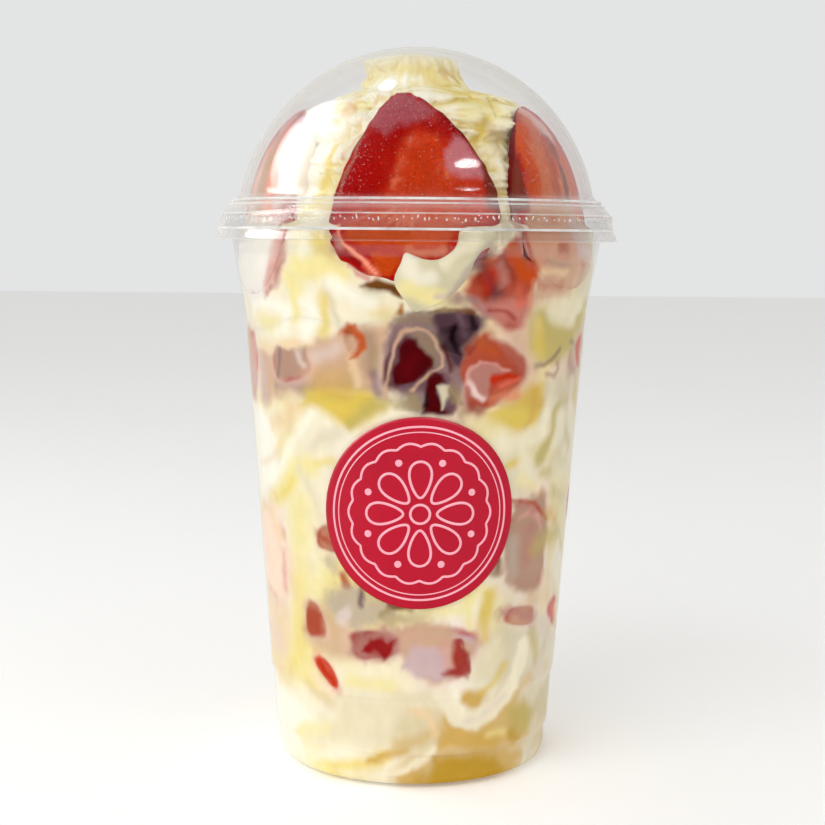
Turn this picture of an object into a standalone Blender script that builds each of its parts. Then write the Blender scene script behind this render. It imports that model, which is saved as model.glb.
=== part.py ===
"""Cup of strawberries and cream with a domed lid.

A clear tapered cup stands on the floor at the origin, with +Z up and its front towards -Y.
It holds marbled cream, a looser cream layer with berries and a piped top of whipped cream.
Strawberry halves stand against the dome, tips up, and cut pieces lie against the cup's wall.
All sizes below are in millimetres, angles in degrees from the front (-Y) towards +X.
"""

import math

import bmesh
import bpy
import numpy as np

MM = 0.001

# Cup: a thin tapered wall with two small steps near the base and a bead round the rim.
SIDES = 40
WALL = 0.6
FIT_GAP = 0.4
BASE_HOLLOW_R = 24.0
BASE_HOLLOW_Z = 3.2
FOOT_IN_R = 28.0
FOOT_OUT_R = 32.2
FOOT_ROUND = 2.8
LOW_STEP_Z = 8.8
HIGH_STEP_Z = 23.2
STEP_RISE = 0.7
FOOT_WALL_R = 35.3
LOW_STEP_R = 36.15
HIGH_STEP_R = 37.55
HIGH_STEP_UNDER_R = 37.05
FLARE_Z = 117.0
FLARE_R = 44.3
NECK_Z = 133.5
NECK_R = 47.1
BEAD_LOW_Z = 136.4
BEAD_TOP_Z = 140.1
BEAD_R = 49.2

# Lid: a flared skirt, an upright band over the bead, a sloping ledge and a dome.
LID_WALL = 0.55
SKIRT_Z = 134.6
SKIRT_R = 51.75
FOLD_Z = 137.3
FOLD_R = 50.45
BAND_TOP_Z = 140.9
BAND_TOP_R = 50.1
LEDGE_Z = 145.9
DOME_R = 46.0
DOME_CENTRE_Z = 137.4
DOME_ROWS = 8

# Round sticker wrapped on the front of the cup.
STICKER_R = 23.5
STICKER_ANGLE = 2.0
STICKER_Z = 70.1
STICKER_THICK = 0.25
STICKER_GAP = 0.3
STICKER_SIDES = 32
STICKER_RINGS = 3

# Heights where the cream layers meet, and how far those meetings wave.
LAYER_GAP = 0.4
LOW_MEET_Z = 96.0
LOW_MEET_WAVE = 1.5
HIGH_MEET_Z = 113.0
HIGH_MEET_TILT = 4.0
HIGH_MEET_TILT_ANGLE = 20.0
LOBE_WAVE = 1.2
LOBES = 9

# Piped whipped cream: (height, radius) of the mound, and the depth of its ruffles.
MOUND = ((137.0, 43.4), (145.0, 40.0), (151.0, 36.0), (156.5, 32.0), (162.0, 28.4), (167.0, 25.0),
         (170.5, 20.6), (172.5, 14.6), (176.5, 12.6), (179.4, 12.4))
MOUND_TOP_Z = 181.6
MOUND_ROWS = 19
RUFFLE_DEPTH = 1.5
RUFFLE_PITCH = 10.5
FLUTES = 11
FLUTE_DEPTH = 0.9
FLUTE_TWIST = 1.6

# Cream rope that runs down across the foot of the front strawberry: (angle, height, half-width).
ROPE = ((26.0, 137.6, 1.2), (23.5, 135.8, 2.6), (16.5, 132.0, 4.2), (9.0, 128.4, 5.4), (3.2, 124.0, 5.8),
        (-0.6, 119.6, 4.8), (-2.6, 115.6, 2.0))
ROPE_DEPTH = 7.0
ROPE_SIDES = 10

# What a cut-out in the cream leaves round the piece that sits in it.
CUT_GAP = 0.35
CUT_REACH = 2.5
WELD = 0.02
FLAT_ANGLE = 1.5

# Strawberry halves round the dome: angle, low and high ends, half-width, depth, lean of the tip, taper
# towards it, how far both ends bend to one side, and how far the upper part stands back from the dome.
HALVES = {
    "strawberry_half_front": dict(
        angle=-2.0, low=125.4, high=170.3, half_width=18.2, depth=10.0, lean=-2.8, taper=0.5, bend=-3.4, inset=1.0),
    "strawberry_half_right": dict(
        angle=57.2, low=122.6, high=168.0, half_width=17.0, depth=8.5, lean=9.0, taper=0.22, bend=-2.2, inset=2.2),
    "strawberry_half_right_back": dict(
        angle=116.0, low=125.0, high=167.0, half_width=16.6, depth=9.5, lean=-2.0, taper=0.46, bend=1.0, inset=1.6),
    "strawberry_half_back": dict(
        angle=176.0, low=124.0, high=168.6, half_width=18.0, depth=10.0, lean=3.0, taper=0.42, bend=-1.6, inset=1.2),
    "strawberry_half_left_back": dict(
        angle=235.0, low=126.0, high=167.5, half_width=17.0, depth=9.5, lean=-4.0, taper=0.5, bend=1.4, inset=1.8),
    "strawberry_half_left": dict(
        angle=-66.0, low=121.5, high=167.5, half_width=16.6, depth=9.5, lean=4.0, taper=0.46, bend=0.0, inset=1.6),
}
INSET_FROM_Z = 130.0
INSET_FULL_Z = 146.0
HALF_BEND_FROM = 0.35
HALF_CORNER = 1.0
HALF_UNEVEN = 0.02
HALF_SIDES = 16
HALF_FACE_RINGS = (0.52, 1.0)
HALF_BACK_RINGS = (32.0, 65.0)
HALF_EDGE_ROUND = 1.1

# Cut pieces against the wall: angle, height, half-width, half-height, depth, lean, taper.
PIECES = {
    "strawberry_chunk_shoulder": (28.0, 122.2, 8.6, 6.9, 7.5, 20.0, 0.2),
    "strawberry_chunk_window": (-2.4, 106.5, 5.3, 7.2, 6.5, -8.0, 0.3),
    "strawberry_chunk_dark": (9.1, 98.6, 3.0, 5.0, 5.0, 0.0, 0.1),
    "strawberry_chunk_bubble": (26.0, 104.2, 8.0, 7.2, 8.0, -25.0, 0.35),
    "strawberry_chunk_block": (-45.0, 104.4, 6.2, 3.8, 5.0, 0.0, 0.0),
    "strawberry_slice_left_high": (-73.0, 104.5, 5.0, 7.8, 5.5, 6.0, 0.1),
    "strawberry_slice_left": (-66.0, 56.0, 9.4, 11.8, 6.5, -4.0, 0.1),
    "strawberry_bit_upper": (-31.0, 62.6, 3.4, 3.4, 4.0, 0.0, 0.0),
    "strawberry_bit_left": (-39.0, 41.4, 2.9, 4.4, 4.0, -12.0, 0.1),
    "strawberry_chunk_low": (-14.5, 37.0, 6.4, 3.5, 5.0, -6.0, 0.0),
    "strawberry_bit_streak": (-34.2, 28.6, 1.8, 4.4, 3.0, -42.0, 0.0),
    "strawberry_slice_pale": (9.5, 35.2, 8.8, 6.9, 6.5, 4.0, -0.15),
    "strawberry_slice_right": (45.6, 61.2, 7.7, 12.1, 6.0, 0.0, 0.2),
    "strawberry_bit_right": (43.5, 42.4, 5.2, 2.5, 3.5, 8.0, 0.0),
}

# The far side holds the same mix of pieces, spread by rule: upper row, then two lower rows.
FAR_ROWS = (
    dict(name="strawberry_far_high", start=76.0, step=37.0, count=6, height=104.0, rise=2.6, size=(6.2, 6.6)),
    dict(name="strawberry_far_middle", start=88.0, step=51.0, count=4, height=62.5, rise=4.5, size=(6.6, 8.6)),
    dict(name="strawberry_far_low", start=72.0, step=53.0, count=4, height=36.5, rise=3.0, size=(6.8, 5.0)),
)
FAR_DEPTH = 6.0
FAR_LEAN = 24.0
FAR_UNEVEN = 0.22
FAR_TAPER = 0.15
PIECE_CORNER = 0.8
PIECE_UNEVEN = 0.07
PIECE_SIDES = 12
PIECE_FACE_RINGS = (1.0,)
PIECE_BACK_RINGS = (48.0,)
PIECE_EDGE_ROUND = 0.5

# Air pockets at the wall, with nothing in them: angle, height, half-width, half-height, depth, lean.
POCKETS = (
    (13.2, 111.6, 6.0, 3.6, 7.0, 14.0),
    (-20.8, 111.2, 1.7, 3.6, 3.0, -12.0),
    (-10.5, 123.4, 5.4, 1.2, 2.6, -4.0),
)

CLEAR = (0.93, 0.95, 0.95, 0.25)
CREAM = (0.93, 0.87, 0.68, 1.0)
MILKY = (0.84, 0.74, 0.58, 1.0)
WHITE_CREAM = (0.95, 0.91, 0.77, 1.0)
BERRY = (0.62, 0.03, 0.02, 1.0)
LABEL_RED = (0.55, 0.01, 0.05, 1.0)


def material(name, colour, roughness):
    """A plain Principled material."""
    made = bpy.data.materials.new(name)
    made.use_nodes = True
    shader = made.node_tree.nodes["Principled BSDF"]
    shader.inputs["Base Color"].default_value = colour
    shader.inputs["Roughness"].default_value = roughness
    shader.inputs["Metallic"].default_value = 0.0
    shader.inputs["Alpha"].default_value = colour[3]
    return made


def around(angle, radius, height):
    """The point at an angle from the front, in millimetres."""
    turn = math.radians(angle)
    return np.array((radius * math.sin(turn), -radius * math.cos(turn), height))


def make_object(name, points, faces, look):
    """An object from points in millimetres, with its faces pointing outwards."""
    mesh = bpy.data.meshes.new(name)
    mesh.from_pydata([tuple(np.asarray(point) * MM) for point in points], [], faces)
    shape = bmesh.new()
    shape.from_mesh(mesh)
    bmesh.ops.recalc_face_normals(shape, faces=shape.faces)
    bmesh.ops.triangulate(shape, faces=shape.faces)
    shape.to_mesh(mesh)
    shape.free()
    mesh.shade_smooth()
    mesh.set_sharp_from_angle(angle=math.radians(40))
    made = bpy.data.objects.new(name, mesh)
    bpy.context.scene.collection.objects.link(made)
    if look is not None:
        mesh.materials.append(look)
    return made


def band_faces(rings, sides):
    """Quads between rows of points, each row one closed ring of the same number of points."""
    faces = []
    for row in range(rings - 1):
        for side in range(sides):
            after = (side + 1) % sides
            faces.append((row * sides + side, row * sides + after,
                          (row + 1) * sides + after, (row + 1) * sides + side))
    return faces


def turned_shell(name, profile, look):
    """A shell turned from a closed loop of (radius, height) whose two ends lie on the axis."""
    points = []
    for radius, height in profile[1:-1]:
        points += [around(side * 360.0 / SIDES, radius, height) for side in range(SIDES)]
    rings = len(profile) - 2
    faces = band_faces(rings, SIDES)
    for end, row in ((profile[0], 0), (profile[-1], rings - 1)):
        points.append(np.array((0.0, 0.0, end[1])))
        tip = len(points) - 1
        faces += [(tip, row * SIDES + side, row * SIDES + (side + 1) % SIDES) for side in range(SIDES)]
    return make_object(name, points, faces, look)


def offset_profile(profile, distance):
    """The profile moved sideways by a distance, to the left of its direction of travel."""
    moved = []
    for index, (radius, height) in enumerate(profile):
        before = np.array(profile[max(index - 1, 0)])
        after = np.array(profile[min(index + 1, len(profile) - 1)])
        first = np.array((radius, height)) - before
        second = after - np.array((radius, height))
        way = sum(v / np.linalg.norm(v) for v in (first, second) if np.linalg.norm(v) > 0)
        way = way / np.linalg.norm(way)
        moved.append((radius - way[1] * distance, height + way[0] * distance))
    moved[0] = (0.0, moved[0][1])
    return moved


def cup_outline():
    """The cup's outer side, from the middle of its base up to the foot of the bead."""
    knee = FOOT_ROUND * (1.0 - math.cos(math.radians(45)))
    return [
        (0.0, BASE_HOLLOW_Z),
        (BASE_HOLLOW_R, BASE_HOLLOW_Z),
        (FOOT_IN_R, 0.0),
        (FOOT_OUT_R, 0.0),
        (FOOT_WALL_R - knee, knee),
        (FOOT_WALL_R, FOOT_ROUND),
        (FOOT_WALL_R, LOW_STEP_Z - STEP_RISE / 2),
        (LOW_STEP_R, LOW_STEP_Z + STEP_RISE / 2),
        (HIGH_STEP_UNDER_R, HIGH_STEP_Z - STEP_RISE / 2),
        (HIGH_STEP_R, HIGH_STEP_Z + STEP_RISE / 2),
        (FLARE_R, FLARE_Z),
        (NECK_R, NECK_Z),
    ]


def cup_outer_radius(height):
    """Radius of the cup's outer wall at a height above the foot's rounding."""
    wall = cup_outline()[5:]
    return float(np.interp(height, [p[1] for p in wall], [p[0] for p in wall]))


def contents_radius(height):
    """How far the contents may reach from the axis: the wall's or the dome's inside, less a gap."""
    inner_dome = DOME_R - LID_WALL
    above = max(height - DOME_CENTRE_Z, 0.0)
    dome = math.sqrt(max(inner_dome ** 2 - above ** 2, 0.0))
    return min(cup_outer_radius(height) - WALL, dome) - FIT_GAP


def build_cup(look):
    """The cup: outer side, bead, then the inner side back down to the middle."""
    outer = cup_outline()
    inner = offset_profile(outer, WALL)
    bead_mid = (BEAD_LOW_Z + BEAD_TOP_Z) / 2
    bead = [
        (NECK_R + 0.3, BEAD_LOW_Z - 0.9),
        (BEAD_R - 0.6, BEAD_LOW_Z),
        (BEAD_R, bead_mid),
        (BEAD_R - 0.7, BEAD_TOP_Z),
        (NECK_R + 0.5, BEAD_TOP_Z),
        (NECK_R - WALL + 0.1, bead_mid),
    ]
    return turned_shell("cup", outer + bead + inner[::-1], look)


def dome_row(radius, start_z):
    """Points of the dome's meridian from a height up to the apex."""
    first = math.asin((start_z - DOME_CENTRE_Z) / radius)
    turns = np.linspace(first, math.pi / 2, DOME_ROWS)
    row = [(radius * math.cos(turn), DOME_CENTRE_Z + radius * math.sin(turn)) for turn in turns]
    row[-1] = (0.0, row[-1][1])
    return row


def build_lid(look):
    """The lid: inner side from the apex down, round the skirt's edge, then the outer side up."""
    inner_dome = dome_row(DOME_R - LID_WALL, LEDGE_Z - 0.2)[::-1]
    inner = [
        (BAND_TOP_R - LID_WALL, BAND_TOP_Z - 0.35),
        (FOLD_R - LID_WALL, FOLD_Z),
        (SKIRT_R - LID_WALL, SKIRT_Z),
    ]
    outer = [
        (SKIRT_R, SKIRT_Z),
        (FOLD_R, FOLD_Z),
        (BAND_TOP_R, BAND_TOP_Z),
    ]
    return turned_shell("dome_lid", inner_dome + inner + outer + dome_row(DOME_R, LEDGE_Z), look)


def build_sticker(look):
    """A thin round sticker that follows the cone of the cup."""
    slope = math.atan2(FLARE_R - HIGH_STEP_R, FLARE_Z - HIGH_STEP_Z)
    points = []
    for lift in (STICKER_GAP, STICKER_GAP + STICKER_THICK):
        rings = [0.0] + [STICKER_R * (ring + 1) / STICKER_RINGS for ring in range(STICKER_RINGS)]
        for ring in rings:
            for side in range(STICKER_SIDES if ring else 1):
                turn = 2 * math.pi * side / STICKER_SIDES
                height = STICKER_Z + ring * math.cos(turn) * math.cos(slope)
                radius = cup_outer_radius(height)
                angle = STICKER_ANGLE + math.degrees(ring * math.sin(turn) / radius)
                points.append(around(angle, radius + lift, height))
    half = len(points) // 2
    faces = []
    for start in (0, half):
        faces += [(start, start + 1 + s, start + 1 + (s + 1) % STICKER_SIDES) for s in range(STICKER_SIDES)]
        faces += [tuple(start + 1 + v for v in face) for face in band_faces(STICKER_RINGS, STICKER_SIDES)]
    rim = 1 + (STICKER_RINGS - 1) * STICKER_SIDES
    for side in range(STICKER_SIDES):
        after = (side + 1) % STICKER_SIDES
        faces.append((rim + side, rim + after, half + rim + after, half + rim + side))
    return make_object("round_sticker", points, faces, look)


class WallPatch:
    """A flat frame laid against the inside of the wall, on which an outline is drawn.

    Across runs to the right seen from outside, along runs up the wall, and out points at the wall.
    """

    def __init__(self, angle, low, high, lean=0.0, inset=0.0):
        bottom = around(angle, contents_radius(low), low)
        top = around(angle, contents_radius(high), high)
        self.centre = (bottom + top) / 2
        self.half_length = float(np.linalg.norm(top - bottom)) / 2
        up = (top - bottom) / np.linalg.norm(top - bottom)
        right = around(angle + 90.0, 1.0, 0.0)
        self.out = np.cross(right, up)
        turn = math.radians(lean)
        self.along = math.cos(turn) * up + math.sin(turn) * right
        self.across = math.cos(turn) * right - math.sin(turn) * up
        self.inset = inset

    def room(self, height):
        """How far from the axis the piece's face may reach at a height."""
        share = (height - INSET_FROM_Z) / (INSET_FULL_Z - INSET_FROM_Z)
        return contents_radius(height) - self.inset * min(max(share, 0.0), 1.0)

    def to_wall(self, across, along):
        """How far that room's edge lies in front of the frame at a place on it, found by halving."""
        start = self.centre + across * self.across + along * self.along
        near, far = -25.0, 25.0
        for _ in range(30):
            middle = (near + far) / 2
            point = start + middle * self.out
            if math.hypot(point[0], point[1]) < self.room(point[2]) and point[2] < DOME_CENTRE_Z + DOME_R:
                near = middle
            else:
                far = middle
        return near

    def point(self, across, along, out):
        return self.centre + across * self.across + along * self.along + out * self.out


def berry_outline(size, form, sides):
    """Egg-shaped outline, narrower at its upper end when the taper is above nought.

    A corner power under one makes it boxier, a wave three times round makes it uneven, and a bend moves
    its two ends to one side and its middle a little to the other.
    """
    half_width, half_length = size
    taper, corner, uneven, phase, bend = form
    outline = []
    for side in range(sides):
        turn = 2 * math.pi * side / sides
        swell = 1.0 + uneven * math.sin(3 * turn + phase)
        across = math.copysign(abs(math.sin(turn)) ** corner, math.sin(turn))
        along = math.copysign(abs(math.cos(turn)) ** corner, math.cos(turn))
        aside = bend * (along ** 2 - HALF_BEND_FROM)
        outline.append((half_width * swell * across * (1.0 - taper * along) + aside, half_length * swell * along))
    return outline


def pressed_solid(name, patch, outline, depth, rings, look, reach=0.0):
    """A solid whose face follows the wall and whose back is rounded.

    With a reach it is a cutter: the same solid, carried on past the wall by that much.
    """
    face_rings, back_rings, edge_round = rings
    sides = len(outline)
    middle = patch.to_wall(0.0, 0.0)
    rim = [patch.to_wall(across, along) - edge_round for across, along in outline]
    deepest = min(middle, max(rim)) - depth

    rows = []
    for share in face_rings:
        faces_out = [patch.to_wall(share * across, share * along) for across, along in outline]
        drop = 0.0 if reach else edge_round * share ** 6
        rows.append([patch.point(share * across, share * along, out - drop + reach)
                     for (across, along), out in zip(outline, faces_out)])
    if reach:
        rows.append([patch.point(across, along, out) for (across, along), out in zip(outline, rim)])
    for turn in back_rings:
        share, sink = math.cos(math.radians(turn)), math.sin(math.radians(turn))
        rows.append([patch.point(share * across, share * along, out * (1.0 - sink) + deepest * sink)
                     for (across, along), out in zip(outline, rim)])

    points = [patch.point(0.0, 0.0, middle + reach)] + [point for row in rows for point in row]
    points.append(patch.point(0.0, 0.0, deepest))
    last = len(points) - 1
    low = last - sides
    faces = [(0, 1 + side, 1 + (side + 1) % sides) for side in range(sides)]
    faces += [tuple(1 + v for v in face) for face in band_faces(len(rows), sides)]
    faces += [(last, low + side, low + (side + 1) % sides) for side in range(sides)]
    return make_object(name, points, faces, look)


def berry_and_cutter(name, patch, size, depth, form, build, look):
    """A pressed berry piece and the larger solid that clears its place in the cream."""
    sides, rings = build
    berry = None
    if look is not None:
        berry = pressed_solid(name, patch, berry_outline(size, form, sides), depth, rings, look)
    wide = berry_outline([half + CUT_GAP for half in size], form, sides)
    reach = CUT_REACH + patch.inset
    cutter = pressed_solid("room_for_" + name, patch, wide, depth + CUT_GAP, rings, None, reach=reach)
    cutter.hide_render = True
    cutter.display_type = "WIRE"
    return berry, cutter


def build_berries(look):
    """Every strawberry half and cut piece, and the cutters for them and for the air pockets."""
    berries, cutters = {}, []
    half_build = (HALF_SIDES, (HALF_FACE_RINGS, HALF_BACK_RINGS, HALF_EDGE_ROUND))
    piece_build = (PIECE_SIDES, (PIECE_FACE_RINGS, PIECE_BACK_RINGS, PIECE_EDGE_ROUND))

    def add(name, patch, size, depth, form, build, shown=True):
        berry, cutter = berry_and_cutter(name, patch, size, depth, form, build, look if shown else None)
        cutters.append(cutter)
        if shown:
            berries[name] = berry

    for phase, (name, half) in enumerate(HALVES.items()):
        patch = WallPatch(half["angle"], half["low"], half["high"], half["lean"], half["inset"])
        form = (half["taper"], HALF_CORNER, HALF_UNEVEN, phase, half["bend"])
        add(name, patch, (half["half_width"], patch.half_length), half["depth"], form, half_build)
    for phase, (name, piece) in enumerate(PIECES.items()):
        angle, height, half_width, half_height, depth, lean, taper = piece
        patch = WallPatch(angle, height - half_height, height + half_height, lean)
        form = (taper, PIECE_CORNER, PIECE_UNEVEN, phase, 0.0)
        add(name, patch, (half_width, half_height), depth, form, piece_build)
    for row in FAR_ROWS:
        for index in range(row["count"]):
            swing = math.sin(2.4 * index + 1.1)
            angle = row["start"] + row["step"] * index + 3.0 * swing
            height = row["height"] + row["rise"] * math.cos(2.9 * index)
            half_width = row["size"][0] * (1.0 + FAR_UNEVEN * swing)
            half_height = row["size"][1] * (1.0 - FAR_UNEVEN * swing)
            patch = WallPatch(angle, height - half_height, height + half_height, FAR_LEAN * math.cos(1.7 * index))
            form = (FAR_TAPER, PIECE_CORNER, PIECE_UNEVEN, index, 0.0)
            add("%s_%d" % (row["name"], index + 1), patch, (half_width, half_height), FAR_DEPTH, form, piece_build)
    for index, (angle, height, half_width, half_height, depth, lean) in enumerate(POCKETS):
        patch = WallPatch(angle, height - half_height, height + half_height, lean)
        form = (0.0, PIECE_CORNER, PIECE_UNEVEN, index, 0.0)
        add("pocket_%d" % (index + 1), patch, (half_width, half_height), depth, form, piece_build, shown=False)
    return berries, cutters


def low_meeting(angle, share):
    """Height where the marbled cream meets the looser layer; share runs from axis to wall."""
    return LOW_MEET_Z + LOW_MEET_WAVE * share * math.cos(math.radians(2 * angle + 40.0))


def high_meeting(angle, share):
    """Height where the looser layer meets the whipped top, with the lobes of the piping."""
    tilt = HIGH_MEET_TILT * math.cos(math.radians(angle - HIGH_MEET_TILT_ANGLE))
    lobes = LOBE_WAVE * math.cos(math.radians(LOBES * angle))
    return HIGH_MEET_Z + share * (tilt + lobes)


def filling(name, bottom, wall_rows, top, look):
    """A closed solid: rings over the bottom out to the wall, rows up the wall, rings over the top.

    Each ring is a function of the angle that gives a (radius, height) pair.
    """
    rings = bottom + wall_rows + top
    points = []
    for ring in rings[1:-1]:
        for side in range(SIDES):
            angle = side * 360.0 / SIDES
            points.append(around(angle, *ring(angle)))
    faces = band_faces(len(rings) - 2, SIDES)
    for end, row in ((rings[0], 0), (rings[-1], len(rings) - 3)):
        points.append(np.array((0.0, 0.0, end(0.0)[1])))
        tip = len(points) - 1
        faces += [(tip, row * SIDES + side, row * SIDES + (side + 1) % SIDES) for side in range(SIDES)]
    return make_object(name, points, faces, look)


def level(radius, height):
    """A ring at one radius and height."""
    return lambda angle: (radius, height)


def wall_ring(height):
    """A ring on the wall at one height."""
    return lambda angle: (contents_radius(height), height)


def meeting_ring(meeting, share, lift):
    """A ring of a meeting surface at a share of the wall's radius, moved up by lift."""

    def ring(angle):
        height = meeting(angle, share) + lift
        return share * contents_radius(height), height

    return ring


def wall_between(first, second, share):
    """A ring on the wall part of the way from one ring to another."""

    def ring(angle):
        height = first(angle)[1] * (1.0 - share) + second(angle)[1] * share
        return contents_radius(height), height

    return ring


def build_marbled_cream(look):
    """Marbled cream from the floor of the cup to the lower meeting."""
    floor = WALL + FIT_GAP
    bottom = [
        level(0.0, BASE_HOLLOW_Z + floor),
        level(BASE_HOLLOW_R + 0.6, BASE_HOLLOW_Z + floor),
        level(FOOT_IN_R + 0.6, floor),
        level(FOOT_OUT_R - 0.4, floor),
    ]
    knee = FOOT_ROUND + 0.6
    rows = [wall_ring(z) for z in (knee, LOW_STEP_Z - 0.2, LOW_STEP_Z + 0.5, HIGH_STEP_Z - 0.2, HIGH_STEP_Z + 0.5)]
    edge = meeting_ring(low_meeting, 1.0, -LAYER_GAP / 2)
    foot = rows[-1]
    rows += [wall_between(foot, edge, share) for share in (0.33, 0.67)] + [edge]
    top = [meeting_ring(low_meeting, share, -LAYER_GAP / 2) for share in (0.55, 0.0)]
    return filling("marbled_cream", bottom, rows, top, look)


def build_berry_layer(look):
    """The looser, milky layer between the two meetings."""
    bottom = [meeting_ring(low_meeting, share, LAYER_GAP / 2) for share in (0.0, 0.55, 1.0)]
    top = [meeting_ring(high_meeting, share, -LAYER_GAP / 2) for share in (1.0, 0.55, 0.0)]
    rows = [wall_between(bottom[-1], top[0], share) for share in (0.33, 0.67)]
    return filling("berry_cream_layer", bottom, rows, top, look)


def mound_ring(height):
    """A ring of the piped mound: its radius swells and sinks along a spiral, and with its flutes."""
    plain = float(np.interp(height, [p[0] for p in MOUND], [p[1] for p in MOUND]))
    grow = min((height - MOUND[0][0]) / 12.0, 1.0)

    def ring(angle):
        spiral = math.sin(math.radians(360.0 * height / RUFFLE_PITCH - angle))
        flute = math.cos(math.radians(FLUTES * angle + FLUTE_TWIST * 10.0 * height))
        radius = plain + grow * (RUFFLE_DEPTH * spiral + FLUTE_DEPTH * flute)
        return min(radius, contents_radius(height)), height

    return ring


def build_whipped_top(look):
    """Piped whipped cream from the upper meeting up to the dome."""
    bottom = [meeting_ring(high_meeting, share, LAYER_GAP / 2) for share in (0.0, 0.55, 1.0)]
    shoulder = wall_ring(MOUND[0][0] - 3.0)
    rows = [wall_between(bottom[-1], shoulder, share) for share in (0.33, 0.67)] + [shoulder]
    heights = np.linspace(MOUND[0][0], MOUND[-1][0], MOUND_ROWS)
    rows += [mound_ring(float(height)) for height in heights]
    top = [level(8.0, MOUND_TOP_Z - 0.7), level(0.0, MOUND_TOP_Z)]
    return filling("whipped_cream_top", bottom, rows, top, look)


def rope_solid(name, grow, reach, look):
    """The rope of cream along the wall: rounded cross-sections carried along its path."""
    turns = [2 * math.pi * side / ROPE_SIDES for side in range(ROPE_SIDES)]
    places = [around(angle, contents_radius(height), height) for angle, height, _ in ROPE]
    for end, inner in ((0, 1), (-1, -2)):
        onward = places[end] - places[inner]
        places[end] = places[end] + onward / np.linalg.norm(onward) * grow
    points = []
    for index, (angle, height, half_width) in enumerate(ROPE):
        ahead = places[min(index + 1, len(ROPE) - 1)] - places[max(index - 1, 0)]
        out = around(angle, 1.0, 0.0)
        side_way = np.cross(ahead / np.linalg.norm(ahead), out)
        for turn in turns:
            across = (half_width + grow) * math.cos(turn)
            lift = math.sin(turn)
            place = places[index] + across * side_way
            radial = math.hypot(place[0], place[1])
            room = contents_radius(place[2])
            out_by = room + (ROPE_DEPTH + grow) * lift if lift < 0 else room + reach * min(2 * lift, 1.0)
            points.append(place * np.array((out_by / radial, out_by / radial, 1.0)))
    faces = band_faces(len(ROPE), ROPE_SIDES)
    faces += [tuple(range(ROPE_SIDES)), tuple(range((len(ROPE) - 1) * ROPE_SIDES, len(ROPE) * ROPE_SIDES))]
    return make_object(name, points, faces, look)


def apply_boolean(target, other, operation):
    """Joins or cuts the target with another solid and keeps the result as its mesh."""
    step = target.modifiers.new(operation.lower(), "BOOLEAN")
    step.operation = operation
    step.solver = "EXACT"
    step.object = other
    evaluated = target.evaluated_get(bpy.context.evaluated_depsgraph_get())
    result = bpy.data.meshes.new_from_object(evaluated)
    target.modifiers.remove(step)
    target.data = result


def boxes_meet(first, second):
    """Whether two objects' boxes overlap."""
    corners = [np.array([v.co[:] for v in item.data.vertices]) for item in (first, second)]
    lows = [c.min(axis=0) for c in corners]
    highs = [c.max(axis=0) for c in corners]
    return bool(np.all(lows[0] <= highs[1]) and np.all(lows[1] <= highs[0]))


def merge_flat_faces(target):
    """Dissolves the edges that the cuts left inside flat faces, and splits into triangles again."""
    shape = bmesh.new()
    shape.from_mesh(target.data)
    bmesh.ops.remove_doubles(shape, verts=shape.verts, dist=WELD * MM)
    bmesh.ops.dissolve_degenerate(shape, edges=shape.edges, dist=WELD * MM)
    bmesh.ops.dissolve_limit(shape, verts=shape.verts, edges=shape.edges, angle_limit=math.radians(FLAT_ANGLE))
    bmesh.ops.triangulate(shape, faces=shape.faces)
    shape.to_mesh(target.data)
    shape.free()


def main():
    for item in list(bpy.data.objects):
        bpy.data.objects.remove(item)
    clear = material("clear_plastic", CLEAR, 0.08)
    berry_look = material("strawberry", BERRY, 0.3)
    white_look = material("whipped_cream", WHITE_CREAM, 0.45)

    build_cup(clear)
    build_lid(clear)
    build_sticker(material("label", LABEL_RED, 0.4))
    marbled = build_marbled_cream(material("marbled_cream", CREAM, 0.4))
    layer = build_berry_layer(material("milky_cream", MILKY, 0.35))
    whipped = build_whipped_top(white_look)
    berries, cutters = build_berries(berry_look)

    for cutter in cutters:
        for cream in (marbled, layer, whipped):
            if boxes_meet(cream, cutter):
                apply_boolean(cream, cutter, "DIFFERENCE")
    rope = rope_solid("cream_rope", 0.0, 0.0, white_look)
    rope_room = rope_solid("room_for_cream_rope", CUT_GAP, CUT_REACH, None)
    apply_boolean(whipped, rope, "UNION")
    for crossed in (layer, berries["strawberry_half_front"], berries["strawberry_chunk_shoulder"]):
        apply_boolean(crossed, rope_room, "DIFFERENCE")
    for cream in (marbled, layer, whipped):
        merge_flat_faces(cream)
    for helper in cutters + [rope, rope_room]:
        bpy.data.objects.remove(helper)


main()
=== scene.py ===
"""Looks of a domed cup of strawberries and cream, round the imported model.

Sizes are in millimetres and angles in degrees from the front (-Y) towards +X, as in the model's own source;
MM turns them into metres where a mesh is made. Each new piece is a surface worked out as whole arrays: a wall
field over (angle, height), a turned profile, or a flat outline pressed against the wall.
Colours on the food are paints laid on its points by a few broad rules and by brush strokes named below.
"""

import math

import bpy
import numpy as np
from mathutils import Matrix, Vector


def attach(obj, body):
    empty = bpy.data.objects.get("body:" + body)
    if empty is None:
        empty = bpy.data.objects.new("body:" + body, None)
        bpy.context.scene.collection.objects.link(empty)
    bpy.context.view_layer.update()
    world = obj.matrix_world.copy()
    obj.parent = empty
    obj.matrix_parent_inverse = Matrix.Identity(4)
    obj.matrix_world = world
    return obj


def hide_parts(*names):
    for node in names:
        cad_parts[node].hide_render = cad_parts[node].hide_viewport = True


MM = 0.001

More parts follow.
